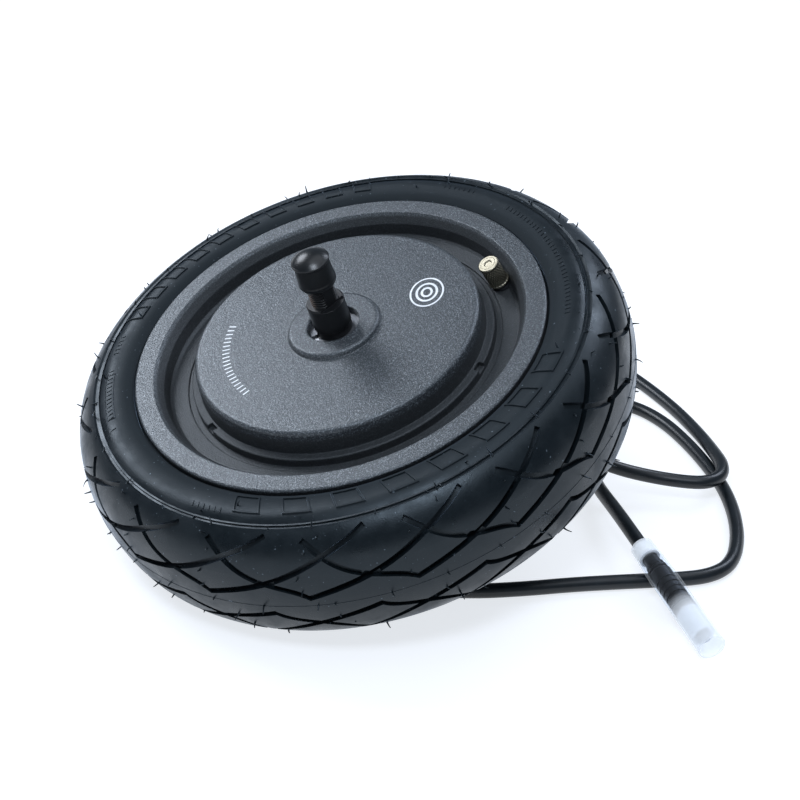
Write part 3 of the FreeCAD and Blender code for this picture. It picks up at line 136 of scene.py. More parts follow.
# %% White of the table
NEAR_WHITE = linear("#f6faff")
OWN_SHARE = 0.79  # how much of white the table shows by itself; what light it reflects is added
white, tree = empty_material("white_table")
path = add(tree, "LightPath")
direct = add(tree, "Math", {0: path.outputs["Is Camera Ray"], 1: path.outputs["Is Glossy Ray"]},
             operation="MAXIMUM")
seen = add(tree, "Math", {0: direct.outputs[0], 1: path.outputs["Is Transmission Ray"]}, operation="MAXIMUM")
own = add(tree, "Emission", {"Color": NEAR_WHITE, "Strength": OWN_SHARE})
shaded = add(tree, "BsdfDiffuse", {"Color": linear("#aeaeb0")})
both = add(tree, "AddShader", {0: own.outputs[0], 1: shaded.outputs[0]})
plain = add(tree, "BsdfDiffuse", {"Color": linear("#d9dadc")})
mixed = add(tree, "MixShader", {0: seen.outputs[0], 1: plain.outputs[0], 2: both.outputs[0]})
add(tree, "OutputMaterial", {"Surface": mixed.outputs[0]})
table_mesh.materials.append(white)

# %% Surroundings
ROOM_LIGHT = 0.25
world = bpy.data.worlds.new("studio")
scene.world = world
world.use_nodes = True
tree = world.node_tree
tree.nodes.clear()
path = add(tree, "LightPath")
dim = add(tree, "Background", {"Color": linear("#d3e3f7"), "Strength": ROOM_LIGHT})
bright = add(tree, "Background", {"Color": NEAR_WHITE, "Strength": OWN_SHARE})
mixed = add(tree, "MixShader", {0: path.outputs["Is Camera Ray"], 1: dim.outputs[0], 2: bright.outputs[0]})
add(tree, "OutputWorld", {"Surface": mixed.outputs[0]})

# %% Lamps
# Each row is a name, the azimuth and elevation that the lamp hangs at, its distance from the wheel,
# its width and height, its radiance and its colour. A lamp's power is its radiance times pi times
# its area.
TARGET = Vector((0.0, 0.0, 0.08))
LAMPS = [
    ("behind_left", 99, 41, 1.3, 0.66, 0.56, 9.4, "#eff5ff"),
    ("over_camera", -144, 56, 1.3, 0.40, 0.26, 20.0, "#e6f1ff"),
    ("overhead", -90, 80, 1.5, 1.50, 1.20, 1.1, "#f0f6ff"),
    ("right", -6, 42, 1.5, 0.56, 0.50, 7.0, "#e4eeff"),
]
for name, azimuth, elevation, distance, width, height, radiance, colour in LAMPS:
    light = bpy.data.lights.new(name, "AREA")
    light.shape = "RECTANGLE"
    light.size = width
    light.size_y = height
    light.energy = radiance * math.pi * width * height
    light.color = linear(colour)[:3]
    lamp = bpy.data.objects.new(name, light)
    level = math.cos(math.radians(elevation))
    lamp.location = TARGET + distance * Vector((
        level * math.cos(math.radians(azimuth)),
        level * math.sin(math.radians(azimuth)),
        math.sin(math.radians(elevation)),
    ))
    lamp.rotation_euler = (TARGET - lamp.location).to_track_quat("-Z", "Y").to_euler()
    scene.collection.objects.link(lamp)
print("lamps", [row[0] for row in LAMPS])

# %% [markdown]
# ## The wheel's own frame
# The wheel lies tilted on its tyre and on the lower end of its axle. Everything that belongs to it is
# easier to say in its own frame, with Z along the axle, in mm and degrees, so one function takes such
# a place to the world. The axle's direction and the wheel's middle are read from the joint that lets
# the wheel spin.

# %% Wheel frame
spin = next(j for j in frame["joints"] if j["name"] == "wheel_spin")
AXLE = np.array(Vector(spin["axis"]).normalized())
MIDDLE = np.array(spin["pos_m"])
SIDE_WAYS = np.array([0.0, 1.0, 0.0])
WHEEL_AXES = np.array([np.cross(SIDE_WAYS, AXLE), SIDE_WAYS, AXLE])


def to_world(local_mm):
    """World metres for mm in the wheel's frame: its middle plus each number along its own axis."""
    return MIDDLE + (np.asarray(local_mm, float) * MM) @ WHEEL_AXES


def node_points(node):
    """The vertices of a CAD node, in world metres."""
    mesh = frame["nodes"][node].data
    points = np.empty(len(mesh.vertices) * 3)
    mesh.vertices.foreach_get("co", points)
    return points.reshape(-1, 3)


def polar(radius, azimuth, height):
    """x, y and z from a radius, an azimuth in degrees and a height, as one array."""
    angle = np.radians(azimuth)
    return np.stack(np.broadcast_arrays(radius * np.cos(angle), radius * np.sin(angle), height), -1)


print("axle along", AXLE.round(4), "middle", MIDDLE)

# %% [markdown]
# ## Grids into meshes
# Each new piece is a set of grids of points. A grid is closed by joining its last row or column to
# the first, and a pole is closed by giving a whole row one point, which is then merged.

# %% Grid helper
SAME_PLACE = 1e-7
NO_LENGTH = 1e-8


def grids_to_object(name, grids, close_rows=False, close_columns=False, smooth=True):
    """grids[k, i, j] is a point in metres, and (i, j), (i+1, j), (i+1, j+1), (i, j+1) make a face."""
    count, rows, columns = grids.shape[:3]
    i = np.arange(rows if close_rows else rows - 1)
    j = np.arange(columns if close_columns else columns - 1)
    k, i, j = np.meshgrid(np.arange(count), i, j, indexing="ij")
    next_i, next_j = (i + 1) % rows, (j + 1) % columns
    quads = np.stack([
        (k * rows + i) * columns + j,
        (k * rows + next_i) * columns + j,
        (k * rows + next_i) * columns + next_j,
        (k * rows + i) * columns + next_j,
    ], -1).reshape(-1, 4)
    mesh = bpy.data.meshes.new(name)
    mesh.from_pydata(grids.reshape(-1, 3).tolist(), [], quads.tolist())
    finish_mesh(mesh, smooth)
    piece = bpy.data.objects.new(name, mesh)
    scene.collection.objects.link(piece)
    return piece


def finish_mesh(mesh, smooth):
    """Merges points that coincide, turns the faces outwards and sets the shading."""
    work = bmesh.new()
    work.from_mesh(mesh)
    bmesh.ops.remove_doubles(work, verts=work.verts, dist=SAME_PLACE)
    bmesh.ops.dissolve_degenerate(work, edges=work.edges, dist=NO_LENGTH)
    bmesh.ops.recalc_face_normals(work, faces=work.faces)
    work.to_mesh(mesh)
    work.free()
    mesh.polygons.foreach_set("use_smooth", [smooth] * len(mesh.polygons))
    mesh.update()


# %% [markdown]
# ## The motor cable
# A flexible round lead of about 1.3 m leaves the axle at the rear through a rubber boot, lies in a
# loose loop beside the wheel, runs once round under it, and ends in a round plug. One smooth NURBS
# line carries a round section, so its bends look like a real lead's and not like bent wire.

# %% Route of the cable
# In mm. The boot is measured from the axle's middle line, and the plug along its guard, which runs
# from its near end to its far one. The list is how the cable lies on the table, in world places.
CABLE_D = 6.6 * MM
BOOT_END = 28.0
CABLE_SEAT = 12.0
EXIT_HEIGHT = -44.0
EXIT_TURN = -45.0
GUARD_NEAR = np.array([49.1, -128.7, 13.8])
GUARD_FAR = np.array([18.2, -185.7, 6.0])
PLUG_START = 8.3
PLUG_LEAD = 16.0
PLUG_SEAT = 5.0
LYING = [
    (62, -50, 35.5), (78, -66.5, 26.5), (93, -82, 16.5), (104.5, -95, 12), (113.5, -108.5, 10.7),
    (120.5, -117, 10.7), (130.5, -118.2, 10.7), (139.5, -113, 10.7), (150.5, -101.5, 8.4),
    (165.5, -84.5, 4.9), (181, -61, 3.3), (192, -37, 3.3), (201, -12, 3.3), (206.5, 13, 3.3),
    (205, 40, 3.3), (194, 65, 3.3), (171, 80, 3.3), (144, 78, 3.3), (124, 60, 3.3), (119, 33, 3.3),
    (130, 9, 3.3), (150, -4, 3.3), (166, -21.5, 3.3), (171.5, -40, 3.3), (168, -59, 3.3),
    (159.5, -77.5, 3.3), (148, -97, 3.3), (134.5, -116.5, 3.3), (119.5, -132, 3.3), (105, -143.5, 3.3),
    (94.5, -150, 3.3), (84, -155, 3.3), (73.5, -157, 3.3), (63, -154.2, 3.3), (53, -146.7, 3.3),
    (36, -131.2, 3.3), (18, -115.3, 3.3), (1, -102, 3.3), (-18, -85, 3.3), (-35, -61, 3.3),
    (-46, -32, 3.3), (-47, -1, 3.3), (-36, 28, 3.3), (-13, 51, 3.3), (18, 63, 3.3), (52, 63, 3.3),
    (84, 50, 3.3), (109, 27, 3.3), (121, -2, 3.3), (119, -31, 3.3), (106, -54, 4.5), (92, -70, 7.5),
    (80.5, -82.5, 10.4), (67.5, -101, 13),
]
exit_point = to_world((0, 0, EXIT_HEIGHT)) / MM
outwards = polar(1.0, EXIT_TURN, 0.0) @ WHEEL_AXES
along = (GUARD_FAR - GUARD_NEAR) / np.linalg.norm(GUARD_FAR - GUARD_NEAR)
rear = GUARD_NEAR + along * PLUG_START
route = [exit_point + outwards * (BOOT_END - CABLE_SEAT), exit_point + outwards * (BOOT_END + CABLE_SEAT)]
route += [np.array(p, float) for p in LYING]
route += [rear - along * PLUG_LEAD, rear + along * PLUG_SEAT]
print("cable route", len(route), "points")

# %% Cable
ALONG_STEPS = 10
ROUND_STEPS = 5
curve = bpy.data.curves.new("motor_cable", "CURVE")
curve.dimensions = "3D"
curve.resolution_u = ALONG_STEPS
curve.bevel_depth = 1.0  # times each point's radius, which is the cable's: the object's box counts it
curve.bevel_resolution = ROUND_STEPS
curve.use_fill_caps = True
spline = curve.splines.new("NURBS")
spline.points.add(len(route) - 1)
for point, place in zip(spline.points, route):
    point.co = (*(place * MM), 1.0)
    point.radius = CABLE_D / 2
spline.order_u = 3
spline.use_endpoint_u = True
cable = bpy.data.objects.new("motor_cable", curve)
scene.collection.objects.link(cable)
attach(cable, "axle")
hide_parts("cable")

# %% [markdown]
# ## Looking up the surface
# Moulded and printed details sit on the CAD surfaces, so their places are found by casting a ray at
# the mesh of a node: inwards to the axle for the tread, and down along the axle for the sidewall and
# the cover. A marking is then a small height above the place where its ray ends. The tyre and the
# cover are round, so one row of rays from the axle outwards gives their heights at any azimuth.

# %% Rays
RAY_RADIUS = 170.0  # outside the tyre
RAY_HEIGHT = 80.0  # above the wheel
PLAIN_AZIMUTH = 3.0  # where neither a groove nor a notch is met


def tree_of(node):
    """A search tree of a node's triangles, in world metres."""
    mesh = frame["nodes"][node].data
    corners = np.empty(len(mesh.loops), int)
    mesh.loops.foreach_get("vertex_index", corners)
    return BVHTree.FromPolygons(node_points(node).tolist(), corners.reshape(-1, 3).tolist())


def hit(search, start_mm, direction):
    """The first place on the mesh along a ray, and the normal there towards the ray's start.

    All of them are in the wheel's frame: start + t * direction, with the smallest t that meets a face.
    """
    heading = Vector((np.array(direction, float) @ WHEEL_AXES).tolist())
    place, normal, _, _ = search.ray_cast(Vector(to_world(start_mm).tolist()), heading)
    local = (np.array(place) - MIDDLE) @ WHEEL_AXES.T / MM
    facing = np.array(normal) @ WHEEL_AXES.T
    return local, facing * (-1 if facing @ np.array(direction, float) > 0 else 1)


def inwards(search, azimuth, height):
    """Where a ray that points straight at the axle meets the tread."""
    return hit(search, polar(RAY_RADIUS, azimuth, height), -polar(1.0, azimuth, 0.0))


def downwards(search, radius, azimuth):
    """Where a ray along the axle meets the upper face."""
    return hit(search, polar(radius, azimuth, RAY_HEIGHT), (0, 0, -1))


def face_heights(search, radii):
    """Height of the upper face at each radius, found by rays along the axle."""
    return np.array([downwards(search, radius, PLAIN_AZIMUTH)[0][2] for radius in radii])


# %% Profiles of the sidewall and the cover
tyre_tree = tree_of("tyre")
cover_tree = tree_of("front_cover")
SIDE_RADII = np.linspace(97.0, 118.0, 64)
COVER_RADII = np.linspace(30.0, 62.0, 33)
SIDEWALL = (SIDE_RADII, face_heights(tyre_tree, SIDE_RADII))
COVER = (COVER_RADII, face_heights(cover_tree, COVER_RADII))
print("sidewall height", SIDEWALL[1].min().round(2), SIDEWALL[1].max().round(2))
print("cover height", COVER[1].min().round(2), COVER[1].max().round(2))

# %% [markdown]
# ## Mould whiskers
# A tyre mould lets its air out through hundreds of tiny holes, and rubber follows into them. The
# whiskers that stay on a new tyre are one to three millimetres long and lean where they were pulled.
# Each one is a thin bent taper with five sides, placed by a ray, and left out over a groove or where
# it would reach the table. Hair particles could do it too, but they would leave no mesh behind.

# %% Places of the whiskers
# The vents of a mould stand in rows. A row of the tread is its height along the axle, the step from
# one vent to the next and the first azimuth; a row of the sidewall has its radius in place of a height.
TREAD_ROWS = [
    (0, 10.5, 219), (15, 10, 224), (-15, 10, 221), (24, 20, 216), (-24, 20, 226), (28.5, 24, 219),
    (8, 20, 214), (-8, 20, 219),
]
SIDE_ROWS = [(108.5, 60, 12), (103.0, 90, 200), (111.5, 51, 245), (113.2, 13, 218)]
ONCE_ROUND = 359
GROOVE_DROP = 0.25


def tread_sites(height, step, first):
    """Places and normals on the tread at one height, without those that lie in a groove."""
    found = [inwards(tyre_tree, azimuth, height) for azimuth in np.arange(first, first + ONCE_ROUND, step)]
    top = max(np.hypot(p[0], p[1]) for p, _ in found)
    return [(p, n) for p, n in found if np.hypot(p[0], p[1]) > top - GROOVE_DROP]


def side_sites(radius, step, first):
    """Places and normals on the front sidewall at one radius."""
    return [downwards(tyre_tree, radius, azimuth) for azimuth in np.arange(first, first + ONCE_ROUND, step)]


sites = []
for height, step, first in TREAD_ROWS:
    sites += tread_sites(height, step, first)
for radius, step, first in SIDE_ROWS:
    sites += side_sites(radius, step, first)
roots = np.array([p for p, _ in sites])
normals = np.array([n for _, n in sites])
print("places for whiskers", len(sites))

# %% Lines of the whiskers
# With s from 0 at the root to 1 at the tip, a whisker's line is root + s * length * normal, bent by
# s squared * length * lean. It starts a little below the surface.
SEED = 11
SHORTEST = 1.3
LONGEST = 3.0
LEAN = 0.32
SUNK = 0.4
FLOOR_ROOM = 0.6
TAPER = np.array([1.5, 1.1, 0.85, 0.75, 0.5])  # thickness from the root to the tip, over WHISKER_R
rng = np.random.default_rng(SEED)
lengths = rng.uniform(SHORTEST, LONGEST, len(sites))
lean = rng.normal(0.0, LEAN, (len(sites), 3))
share = np.linspace(0.0, 1.0, len(TAPER))[None, :, None]
spine = (roots - SUNK * normals)[:, None] + share * ((lengths + SUNK)[:, None] * normals)[:, None]
spine = spine + share ** 2 * (lengths[:, None] * lean)[:, None]
clear = (to_world(spine[:, -1])[:, 2] > FLOOR_ROOM * MM) & (to_world(spine[:, 0])[:, 2] > 0)
spine, normals = spine[clear], normals[clear]

# %% Whiskers
WHISKER_R = 0.38
WHISKER_SIDES = 5
ASIDE = np.array([0.31, 0.42, 0.85])  # any direction that no normal has
across = np.cross(normals, ASIDE)
across /= np.linalg.norm(across, axis=1, keepdims=True)
third = np.cross(normals, across)
turn = (np.arange(WHISKER_SIDES) * 2 * np.pi / WHISKER_SIDES)[None, None, :, None]
ring = across[:, None, None] * np.cos(turn) + third[:, None, None] * np.sin(turn)
tube = spine[:, :, None] + ring * (WHISKER_R * TAPER)[None, :, None, None]
first_pole = np.repeat(spine[:, :1, None], WHISKER_SIDES, 2)
last_pole = np.repeat(spine[:, -1:, None], WHISKER_SIDES, 2)
tube = np.concatenate([first_pole, tube, last_pole], 1)
whiskers = grids_to_object("mould_whiskers", to_world(tube), close_columns=True)
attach(whiskers, "wheel")
print("whiskers", len(tube), "faces", len(whiskers.data.polygons))

# %% [markdown]
# ## Mould parting line
# The two halves of the mould meet in the middle of the tread and leave a fine raised line there. It
# is a low trapezium that is carried once round the crown, with its foot sunk into the rubber.

# %% Parting line
LINE_STEPS = 360
LINE_FOOT = 0.35
LINE_TOP = 0.12
LINE_RISE = 0.14
BLOCK_AZIMUTH = 219.0  # the middle of a block of tread, between two grooves
crown = np.hypot(*inwards(tyre_tree, BLOCK_AZIMUTH, 0.0)[0][:2])
azimuths = np.arange(LINE_STEPS) * 360 / LINE_STEPS
section = np.array([(-SUNK, -LINE_FOOT), (LINE_RISE, -LINE_TOP), (LINE_RISE, LINE_TOP), (-SUNK, LINE_FOOT)])
ring = polar(crown + section[None, :, 0], azimuths[:, None], section[None, :, 1])
parting = grids_to_object("mould_parting_line", to_world(ring)[None], close_rows=True, close_columns=True)
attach(parting, "wheel")
print("parting line at radius", crown.round(2))

# %% [markdown]
# ## Raised marks on the sidewall
# A tyre's sidewall carries raised outlines and small characters, moulded in the same rubber. Here
# they are plain leaning frames and ticks with no meaning. A frame is four sides of a
# parallelogram that is followed round at four insets, which are the foot and the shoulder of its
# outer wall and of its inner wall.

# %% Helpers for marks
MARK_SINK = 0.3  # how far a mark's foot lies under the surface
MARK_EDGE = 0.25  # how much narrower its top is than its foot, on each side


def outline_ring(half_u, half_v, slant, inset, samples):
    """A parallelogram's outline, moved in by the inset: v across and u + slant * v along the mark."""
    run = np.linspace(-1.0, 1.0, samples, endpoint=False)
    ones = np.ones(samples)
    u = np.concatenate([run, ones, -run, -ones])
    v = np.concatenate([-ones, run, ones, -run])
    v = v * (half_v - inset)
    return u * (half_u - inset * math.hypot(1.0, slant)) + slant * v, v


def mark_grid(azimuth, radius, half_u, half_v, slant, wall, rise, face, samples=8):
    """A frame with walls of one width, or a solid bar where the wall is None, on a round face.

    A point at (u, v) gets the radius r = radius + v, the azimuth plus u / radius, and the face's
    height at r plus the rise on its top or minus the sink at its foot.
    """
    radii, levels = face
    rows = []
    steps = [(0.0, -MARK_SINK), (MARK_EDGE, rise)]
    if wall is not None:
        steps += [(wall - MARK_EDGE, rise), (wall, -MARK_SINK)]
    for inset, up in steps:
        u, v = outline_ring(half_u, half_v, slant, inset, samples)
        r = radius + v
        rows.append(polar(r, azimuth + np.degrees(u / radius), np.interp(r, radii, levels) + up))
    if wall is None:
        middle = np.interp(radius, radii, levels)
        foot = np.repeat(polar(radius, azimuth, middle - MARK_SINK)[None], 4 * samples, 0)
        top = np.repeat(polar(radius, azimuth, middle + rise)[None], 4 * samples, 0)
        rows = [foot, *rows, top]
    return np.stack(rows)


def marks_object(name, grids, framed):
    """All marks of one kind as one piece that turns with the wheel."""
    points = to_world(np.stack(grids))
    piece = grids_to_object(name, points, close_rows=framed, close_columns=True, smooth=False)
    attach(piece, "wheel")
    return piece


# %% Raised frames
# A row is one arc of frames: its first and last azimuth and their number, then the radius, half the
# length, half the height, the slant, the width of the walls and how far they rise.
FRAME_ARCS = [
    (109.0, 36.0, 10, 106.0, 4.6, 4.3, 0.25, 1.0, 0.6),
    (202.0, 285.0, 8, 101.9, 6.0, 4.7, 0.30, 1.15, 0.6),
    (140.1, 140.1, 1, 105.4, 15.6, 2.2, 0.0, 0.55, 0.28),
]
frames = [
    mark_grid(azimuth, *shape, SIDEWALL)
    for first, last, number, *shape in FRAME_ARCS
    for azimuth in np.linspace(first, last, number)
]
raised_frames = marks_object("sidewall_frames", frames, True)
print("sidewall frames", len(frames))

# %% Raised ticks
# A row is one arc of ticks: its first and last azimuth, their number and the radius.
TICK_ARCS = [
    (189.0, 196.5, 6, 106.6), (-58.0, -10.0, 34, 103.2), (130.5, 148.0, 13, 105.4), (3.0, 12.0, 7, 105.0),
    (152.2, 152.2, 1, 105.8), (118.0, 124.0, 5, 106.0),
]
TICK_HALF_WIDTH = 0.45
TICK_HALF_LENGTH = 1.3
TICK_SLANT = 0.25
TICK_RISE = 0.28
ticks = [
    mark_grid(azimuth, radius, TICK_HALF_WIDTH, TICK_HALF_LENGTH, TICK_SLANT, None, TICK_RISE, SIDEWALL, 2)
    for first, last, number, radius in TICK_ARCS
    for azimuth in np.linspace(first, last, number)
]
raised_ticks = marks_object("sidewall_ticks", ticks, False)
print("sidewall ticks", len(ticks))

# %% [markdown]
# ## Printed marks on the cover
# The cover carries a white print: an arc of small bars and three rings, one in the other. They are a
# film of ink, so they stand only a few hundredths of a millimetre proud, and they have no meaning.

# %% Printed bars
INK_RISE = 0.05
BAR_ARC = np.linspace(115.5, 171.5, 20)
BAR_RADIUS = 50.0
BAR_HALF_WIDTH = 0.55
BAR_HALF_LENGTH = 1.9
print_bars = [
    mark_grid(azimuth, BAR_RADIUS, BAR_HALF_WIDTH, BAR_HALF_LENGTH, 0.0, None, INK_RISE, COVER, 2)
    for azimuth in BAR_ARC
]
print_ticks = marks_object("cover_print_ticks", print_bars, False)
print("printed bars", len(print_bars))

# %% Printed rings
RING_RADIUS = 43.5
RING_AZIMUTH = -33.0
RING_LONG = 9.3
RING_SHORT = 7.4
RING_TURN = 39.0
RING_STEPS = 96
RINGS = [(1.0, 0.42), (0.62, 0.55), (0.3, 0.55)]  # size, and half the width of its line
turn = np.arange(RING_STEPS) * 2 * np.pi / RING_STEPS
centre = polar(RING_RADIUS, RING_AZIMUTH, 0.0)


def print_ring(size, half):
    """A flat oval band on the cover: the foot and the top of its inner and outer edge.

    An edge is centre + p * long way + q * short way, with p and q the two half axes, each plus or
    minus half the band, times the cosine and the sine of the turn.
    """
    rows = []
    lie = polar(1.0, RING_TURN, 0.0)
    for side, up in ((-half, -MARK_SINK), (-half, INK_RISE), (half, INK_RISE), (half, -MARK_SINK)):
        p = (RING_LONG * size + side) * np.cos(turn)
        q = (RING_SHORT * size + side) * np.sin(turn)
        x = centre[0] + p * lie[0] - q * lie[1]
        y = centre[1] + p * lie[1] + q * lie[0]
        rows.append(np.stack([x, y, np.interp(np.hypot(x, y), *COVER) + up], -1))
    return np.stack(rows, 1)


rings = [print_ring(size, half) for size, half in RINGS]
print_rings = grids_to_object(
    "cover_print_ring", to_world(np.stack(rings)), close_rows=True, close_columns=True, smooth=False,
)
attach(print_rings, "wheel")
print("printed rings", len(rings))

# %% [markdown]
# ## The valve's dust cap
# The cap is plated brass with a flat top, a shallow round recess in it, and a crossed knurl round its
# side for the fingers. The knurl is worked out on the surface: two sets of grooves that wind opposite
# ways, each the top part of a wave round and along the cap. The plain cap of the frame gives the new
# one its axis, its height and its size.

# %% Place of the dust cap
cap_joint = next(j for j in frame["joints"] if j["name"] == "dust_cap_off")
CAP_AXIS = np.array(Vector(cap_joint["axis"]).normalized())
cap_side = np.cross(SIDE_WAYS, CAP_AXIS)
cap_side /= np.linalg.norm(cap_side)
cap_third = np.cross(CAP_AXIS, cap_side)
corners = node_points("valve_cap")
cap_centre = np.array([(corners @ a).min() + (corners @ a).max() for a in (cap_side, cap_third)]) / 2
low_mm, high_mm = (corners @ CAP_AXIS).min() / MM, (corners @ CAP_AXIS).max() / MM
reach = np.hypot(corners @ cap_side - cap_centre[0], corners @ cap_third - cap_centre[1]) / MM
print("plain cap radius", reach.max().round(2), "height", round(high_mm - low_mm, 2))

# %% Knurl
# Round the cap the knurl repeats KNURLS times, and along it every KNURL_PITCH. The deepest of the two
# waves counts, and the depth fades out towards both ends of the grip.
KNURL_PROUD = 0.35  # how far the knurl stands out past the plain cap
CAP_R = reach.max() + KNURL_PROUD
KNURLS = 22
KNURL_DEPTH = 0.5
KNURL_PITCH = 2.2
KNURL_FLOOR = 0.35  # the share of the depth that even a crest lies under the cap's radius
KNURL_SHARP = 1.35
GRIP_FOOT = 0.9
GRIP_HEAD = 1.0
GRIP_FADE = 0.4
GRIP_ROWS = 44
AROUND = 180
angle = np.arange(AROUND) * 2 * np.pi / AROUND
grip = np.linspace(low_mm + GRIP_FOOT, high_mm - GRIP_HEAD, GRIP_ROWS)
wind = (grip[:, None] - low_mm) / KNURL_PITCH * np.pi
lobes = np.maximum(np.abs(np.sin(KNURLS * angle / 2 + wind)), np.abs(np.sin(KNURLS * angle / 2 - wind)))
fade = np.minimum(1.0, np.minimum(grip - grip[0], grip[-1] - grip) / GRIP_FADE)[:, None]
groove = 1 - np.minimum(1.0, KNURL_SHARP * (1 - lobes))
grip_r = CAP_R - KNURL_DEPTH * (KNURL_FLOOR + (1 - KNURL_FLOOR) * groove) * fade
grip_rows = np.stack([grip_r, np.broadcast_to(grip[:, None], grip_r.shape)], -1)
print("knurl radius", grip_r.min().round(2), grip_r.max().round(2))

# %% Dust cap
# Both profiles give a radius and a height from the cap's top or from its foot.
CAP_WALL = 0.55
CAP_BORE = reach.max() - CAP_WALL
ROOF = 1.0
top_profile = [
    (0.0, -0.5), (1.5, -0.5), (1.75, -0.1), (1.95, 0.0), (CAP_R - 1.5, 0.0), (CAP_R - 1.25, -0.08),
    (CAP_R - 0.45, -0.08), (CAP_R - 0.12, -0.3), (CAP_R, -0.55),
]
foot_profile = [(CAP_R, 0.45), (CAP_R - 0.2, 0.05), (CAP_R - 0.35, 0.0), (CAP_BORE, 0.1)]
top_rows = np.array([[(r, high_mm + z)] * AROUND for r, z in top_profile])
foot_rows = np.array([[(r, low_mm + z)] * AROUND for r, z in foot_profile])
bore_rows = np.array([[(CAP_BORE, high_mm - ROOF)] * AROUND, [(0.0, high_mm - ROOF)] * AROUND])
shell = np.concatenate([top_rows, grip_rows[::-1], foot_rows, bore_rows])
radial = cap_side * np.cos(angle)[:, None] + cap_third * np.sin(angle)[:, None]
centre_line = cap_centre[0] * cap_side + cap_centre[1] * cap_third
shell = centre_line + shell[..., :1] * MM * radial + shell[..., 1:] * MM * CAP_AXIS
dust_cap = grids_to_object("dust_cap", shell[None], close_columns=True, smooth=False)
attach(dust_cap, "dust_cap")
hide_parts("valve_cap")
print("dust cap faces", len(dust_cap.data.polygons))

# %% [markdown]
# ## Finishes
# Every slot of the parts list gets a finish that is named for the real stuff and for how its surface
# was made. Most of them share one recipe: a base colour that drifts a little between two tones over
# a few millimetres, and a fine grain in the surface whose size is a real one. Where a grain would be
# too fine to see, such as that of ground steel, it is drawn coarser and very shallow.

# %% Shared recipe
FINISHES = {}
DRIFT = 6.0  # mm from one tone to the other
TONE_FROM = 0.35
TONE_TO = 0.65
EDGE_SAMPLES = 4


def finish(slot, name, dark, light, roughness, metallic=0.0, grain=0.5, depth=0.02, edge=0.0):
    """Two tones mixed by slow noise, with fine noise as relief, and edges rounded where edge is set.

    The sizes of the grain, of its depth and of the edge's radius are in mm.
    """
    material, tree = empty_material(name)
    place = add(tree, "TexCoord").outputs["Object"]
    slow = add(tree, "TexNoise", {"Vector": place, "Scale": per_size(DRIFT), "Detail": 3.0})
    tone = add(tree, "ValToRGB", {"Fac": slow.outputs["Fac"]})
    tone.color_ramp.elements[0].position = TONE_FROM
    tone.color_ramp.elements[0].color = linear(dark)
    tone.color_ramp.elements[1].position = TONE_TO
    tone.color_ramp.elements[1].color = linear(light)
    fine = add(tree, "TexNoise", {"Vector": place, "Scale": per_size(grain), "Detail": 2.0})
    relief = add(tree, "Bump", {"Height": fine.outputs["Fac"], "Distance": depth * MM, "Strength": 1.0})
    if edge:
        rounded = add(tree, "Bevel", {"Radius": edge * MM}, samples=EDGE_SAMPLES)
        tree.links.new(rounded.outputs["Normal"], relief.inputs["Normal"])
    shader = add(tree, "BsdfPrincipled", {
        "Base Color": tone.outputs["Color"], "Roughness": roughness, "Metallic": metallic,
        "Normal": relief.outputs["Normal"],
    })
    add(tree, "OutputMaterial", {"Surface": shader.outputs[0]})
    FINISHES[slot] = material


# %% Rubber, paper and plastics
# Nitrile seals are matt and nearly without grain.
finish("seal_rubber", "nitrile_rubber_moulded", "#17181a", "#202124", 0.55, grain=0.4, depth=0.01)
# Pressed paper is dull brown, with its fibres showing.
finish("gasket_paper", "gasket_paper_pressed", "#5a5348", "#6b6356", 0.85, grain=0.3, depth=0.03)
# Natural nylon is a warm pale grey with a soft shine.
finish("insulator_plastic", "insulator_nylon_moulded", "#c9c7bd", "#d6d4ca", 0.5, grain=0.8, depth=0.01)
# Solder mask is a clear green lacquer over fibreglass.
finish("board_green", "circuit_board_solder_mask", "#0f4d2b", "#156036", 0.35, grain=1.2, depth=0.01)
# Moulded epoxy is a dark grey with a very fine sandy surface.
finish("chip_black", "epoxy_chip_moulded", "#1b1b1d", "#242427", 0.6, grain=0.2, depth=0.01)
# Silicone insulation is smooth and satin.
finish("lead_blue", "silicone_lead_extruded", "#1b3f86", "#224a98", 0.45, grain=0.5, depth=0.01)
# A dipped vinyl cap is smooth and rather glossy, and all its edges are round.
finish("cap_rubber", "vinyl_cap_dipped", "#0a0d0f", "#0f1316", 0.30, grain=0.9, depth=0.008, edge=0.5)
# An extruded jacket has a clean shine along its length.
finish("cable_jacket", "cable_jacket_extruded", "#0f1519", "#171e23", 0.34, grain=0.9, depth=0.01)
# The plug's overmould is a little duller than the cable.
finish("plug_black", "plug_overmould", "#0c0d0f", "#121315", 0.42, grain=0.4, depth=0.01)
# Its shell is moulded in a cool pale grey.
finish("plug_pale", "plug_shell_nylon", "#d9dde2", "#e4e8ec", 0.4, grain=0.5, depth=0.006)
# Screen print is a matt white film.
finish("print_white", "screen_print_white", "#e2e5e8", "#f4f6f7", 0.6, grain=0.4, depth=0.01)
# The bush in the guard's neck is soft and milky white.
finish("bush_milky", "guard_bush_milky", "#efeeec", "#f8f7f5", 0.45, grain=0.5, depth=0.01)

# %% Metals
# Black zinc leaves the screws dark, with a dim metal shine.
finish("zinc_steel", "black_zinc_screws", "#1d1e20", "#2b2c2e", 0.38,
       metallic=0.6, grain=0.3, depth=0.004)
# Stamped sheets of silicon steel, stacked to a dull grey core.
finish("core_steel", "silicon_steel_stamped", "#6d6f72", "#85878a", 0.42,
       metallic=1.0, grain=0.35, depth=0.02)
# Nickel plating is bright and slightly warm.
finish("magnet_nickel", "magnet_nickel_plated", "#a9a8a2", "#bab9b3", 0.25,
       metallic=1.0, grain=0.6, depth=0.004)
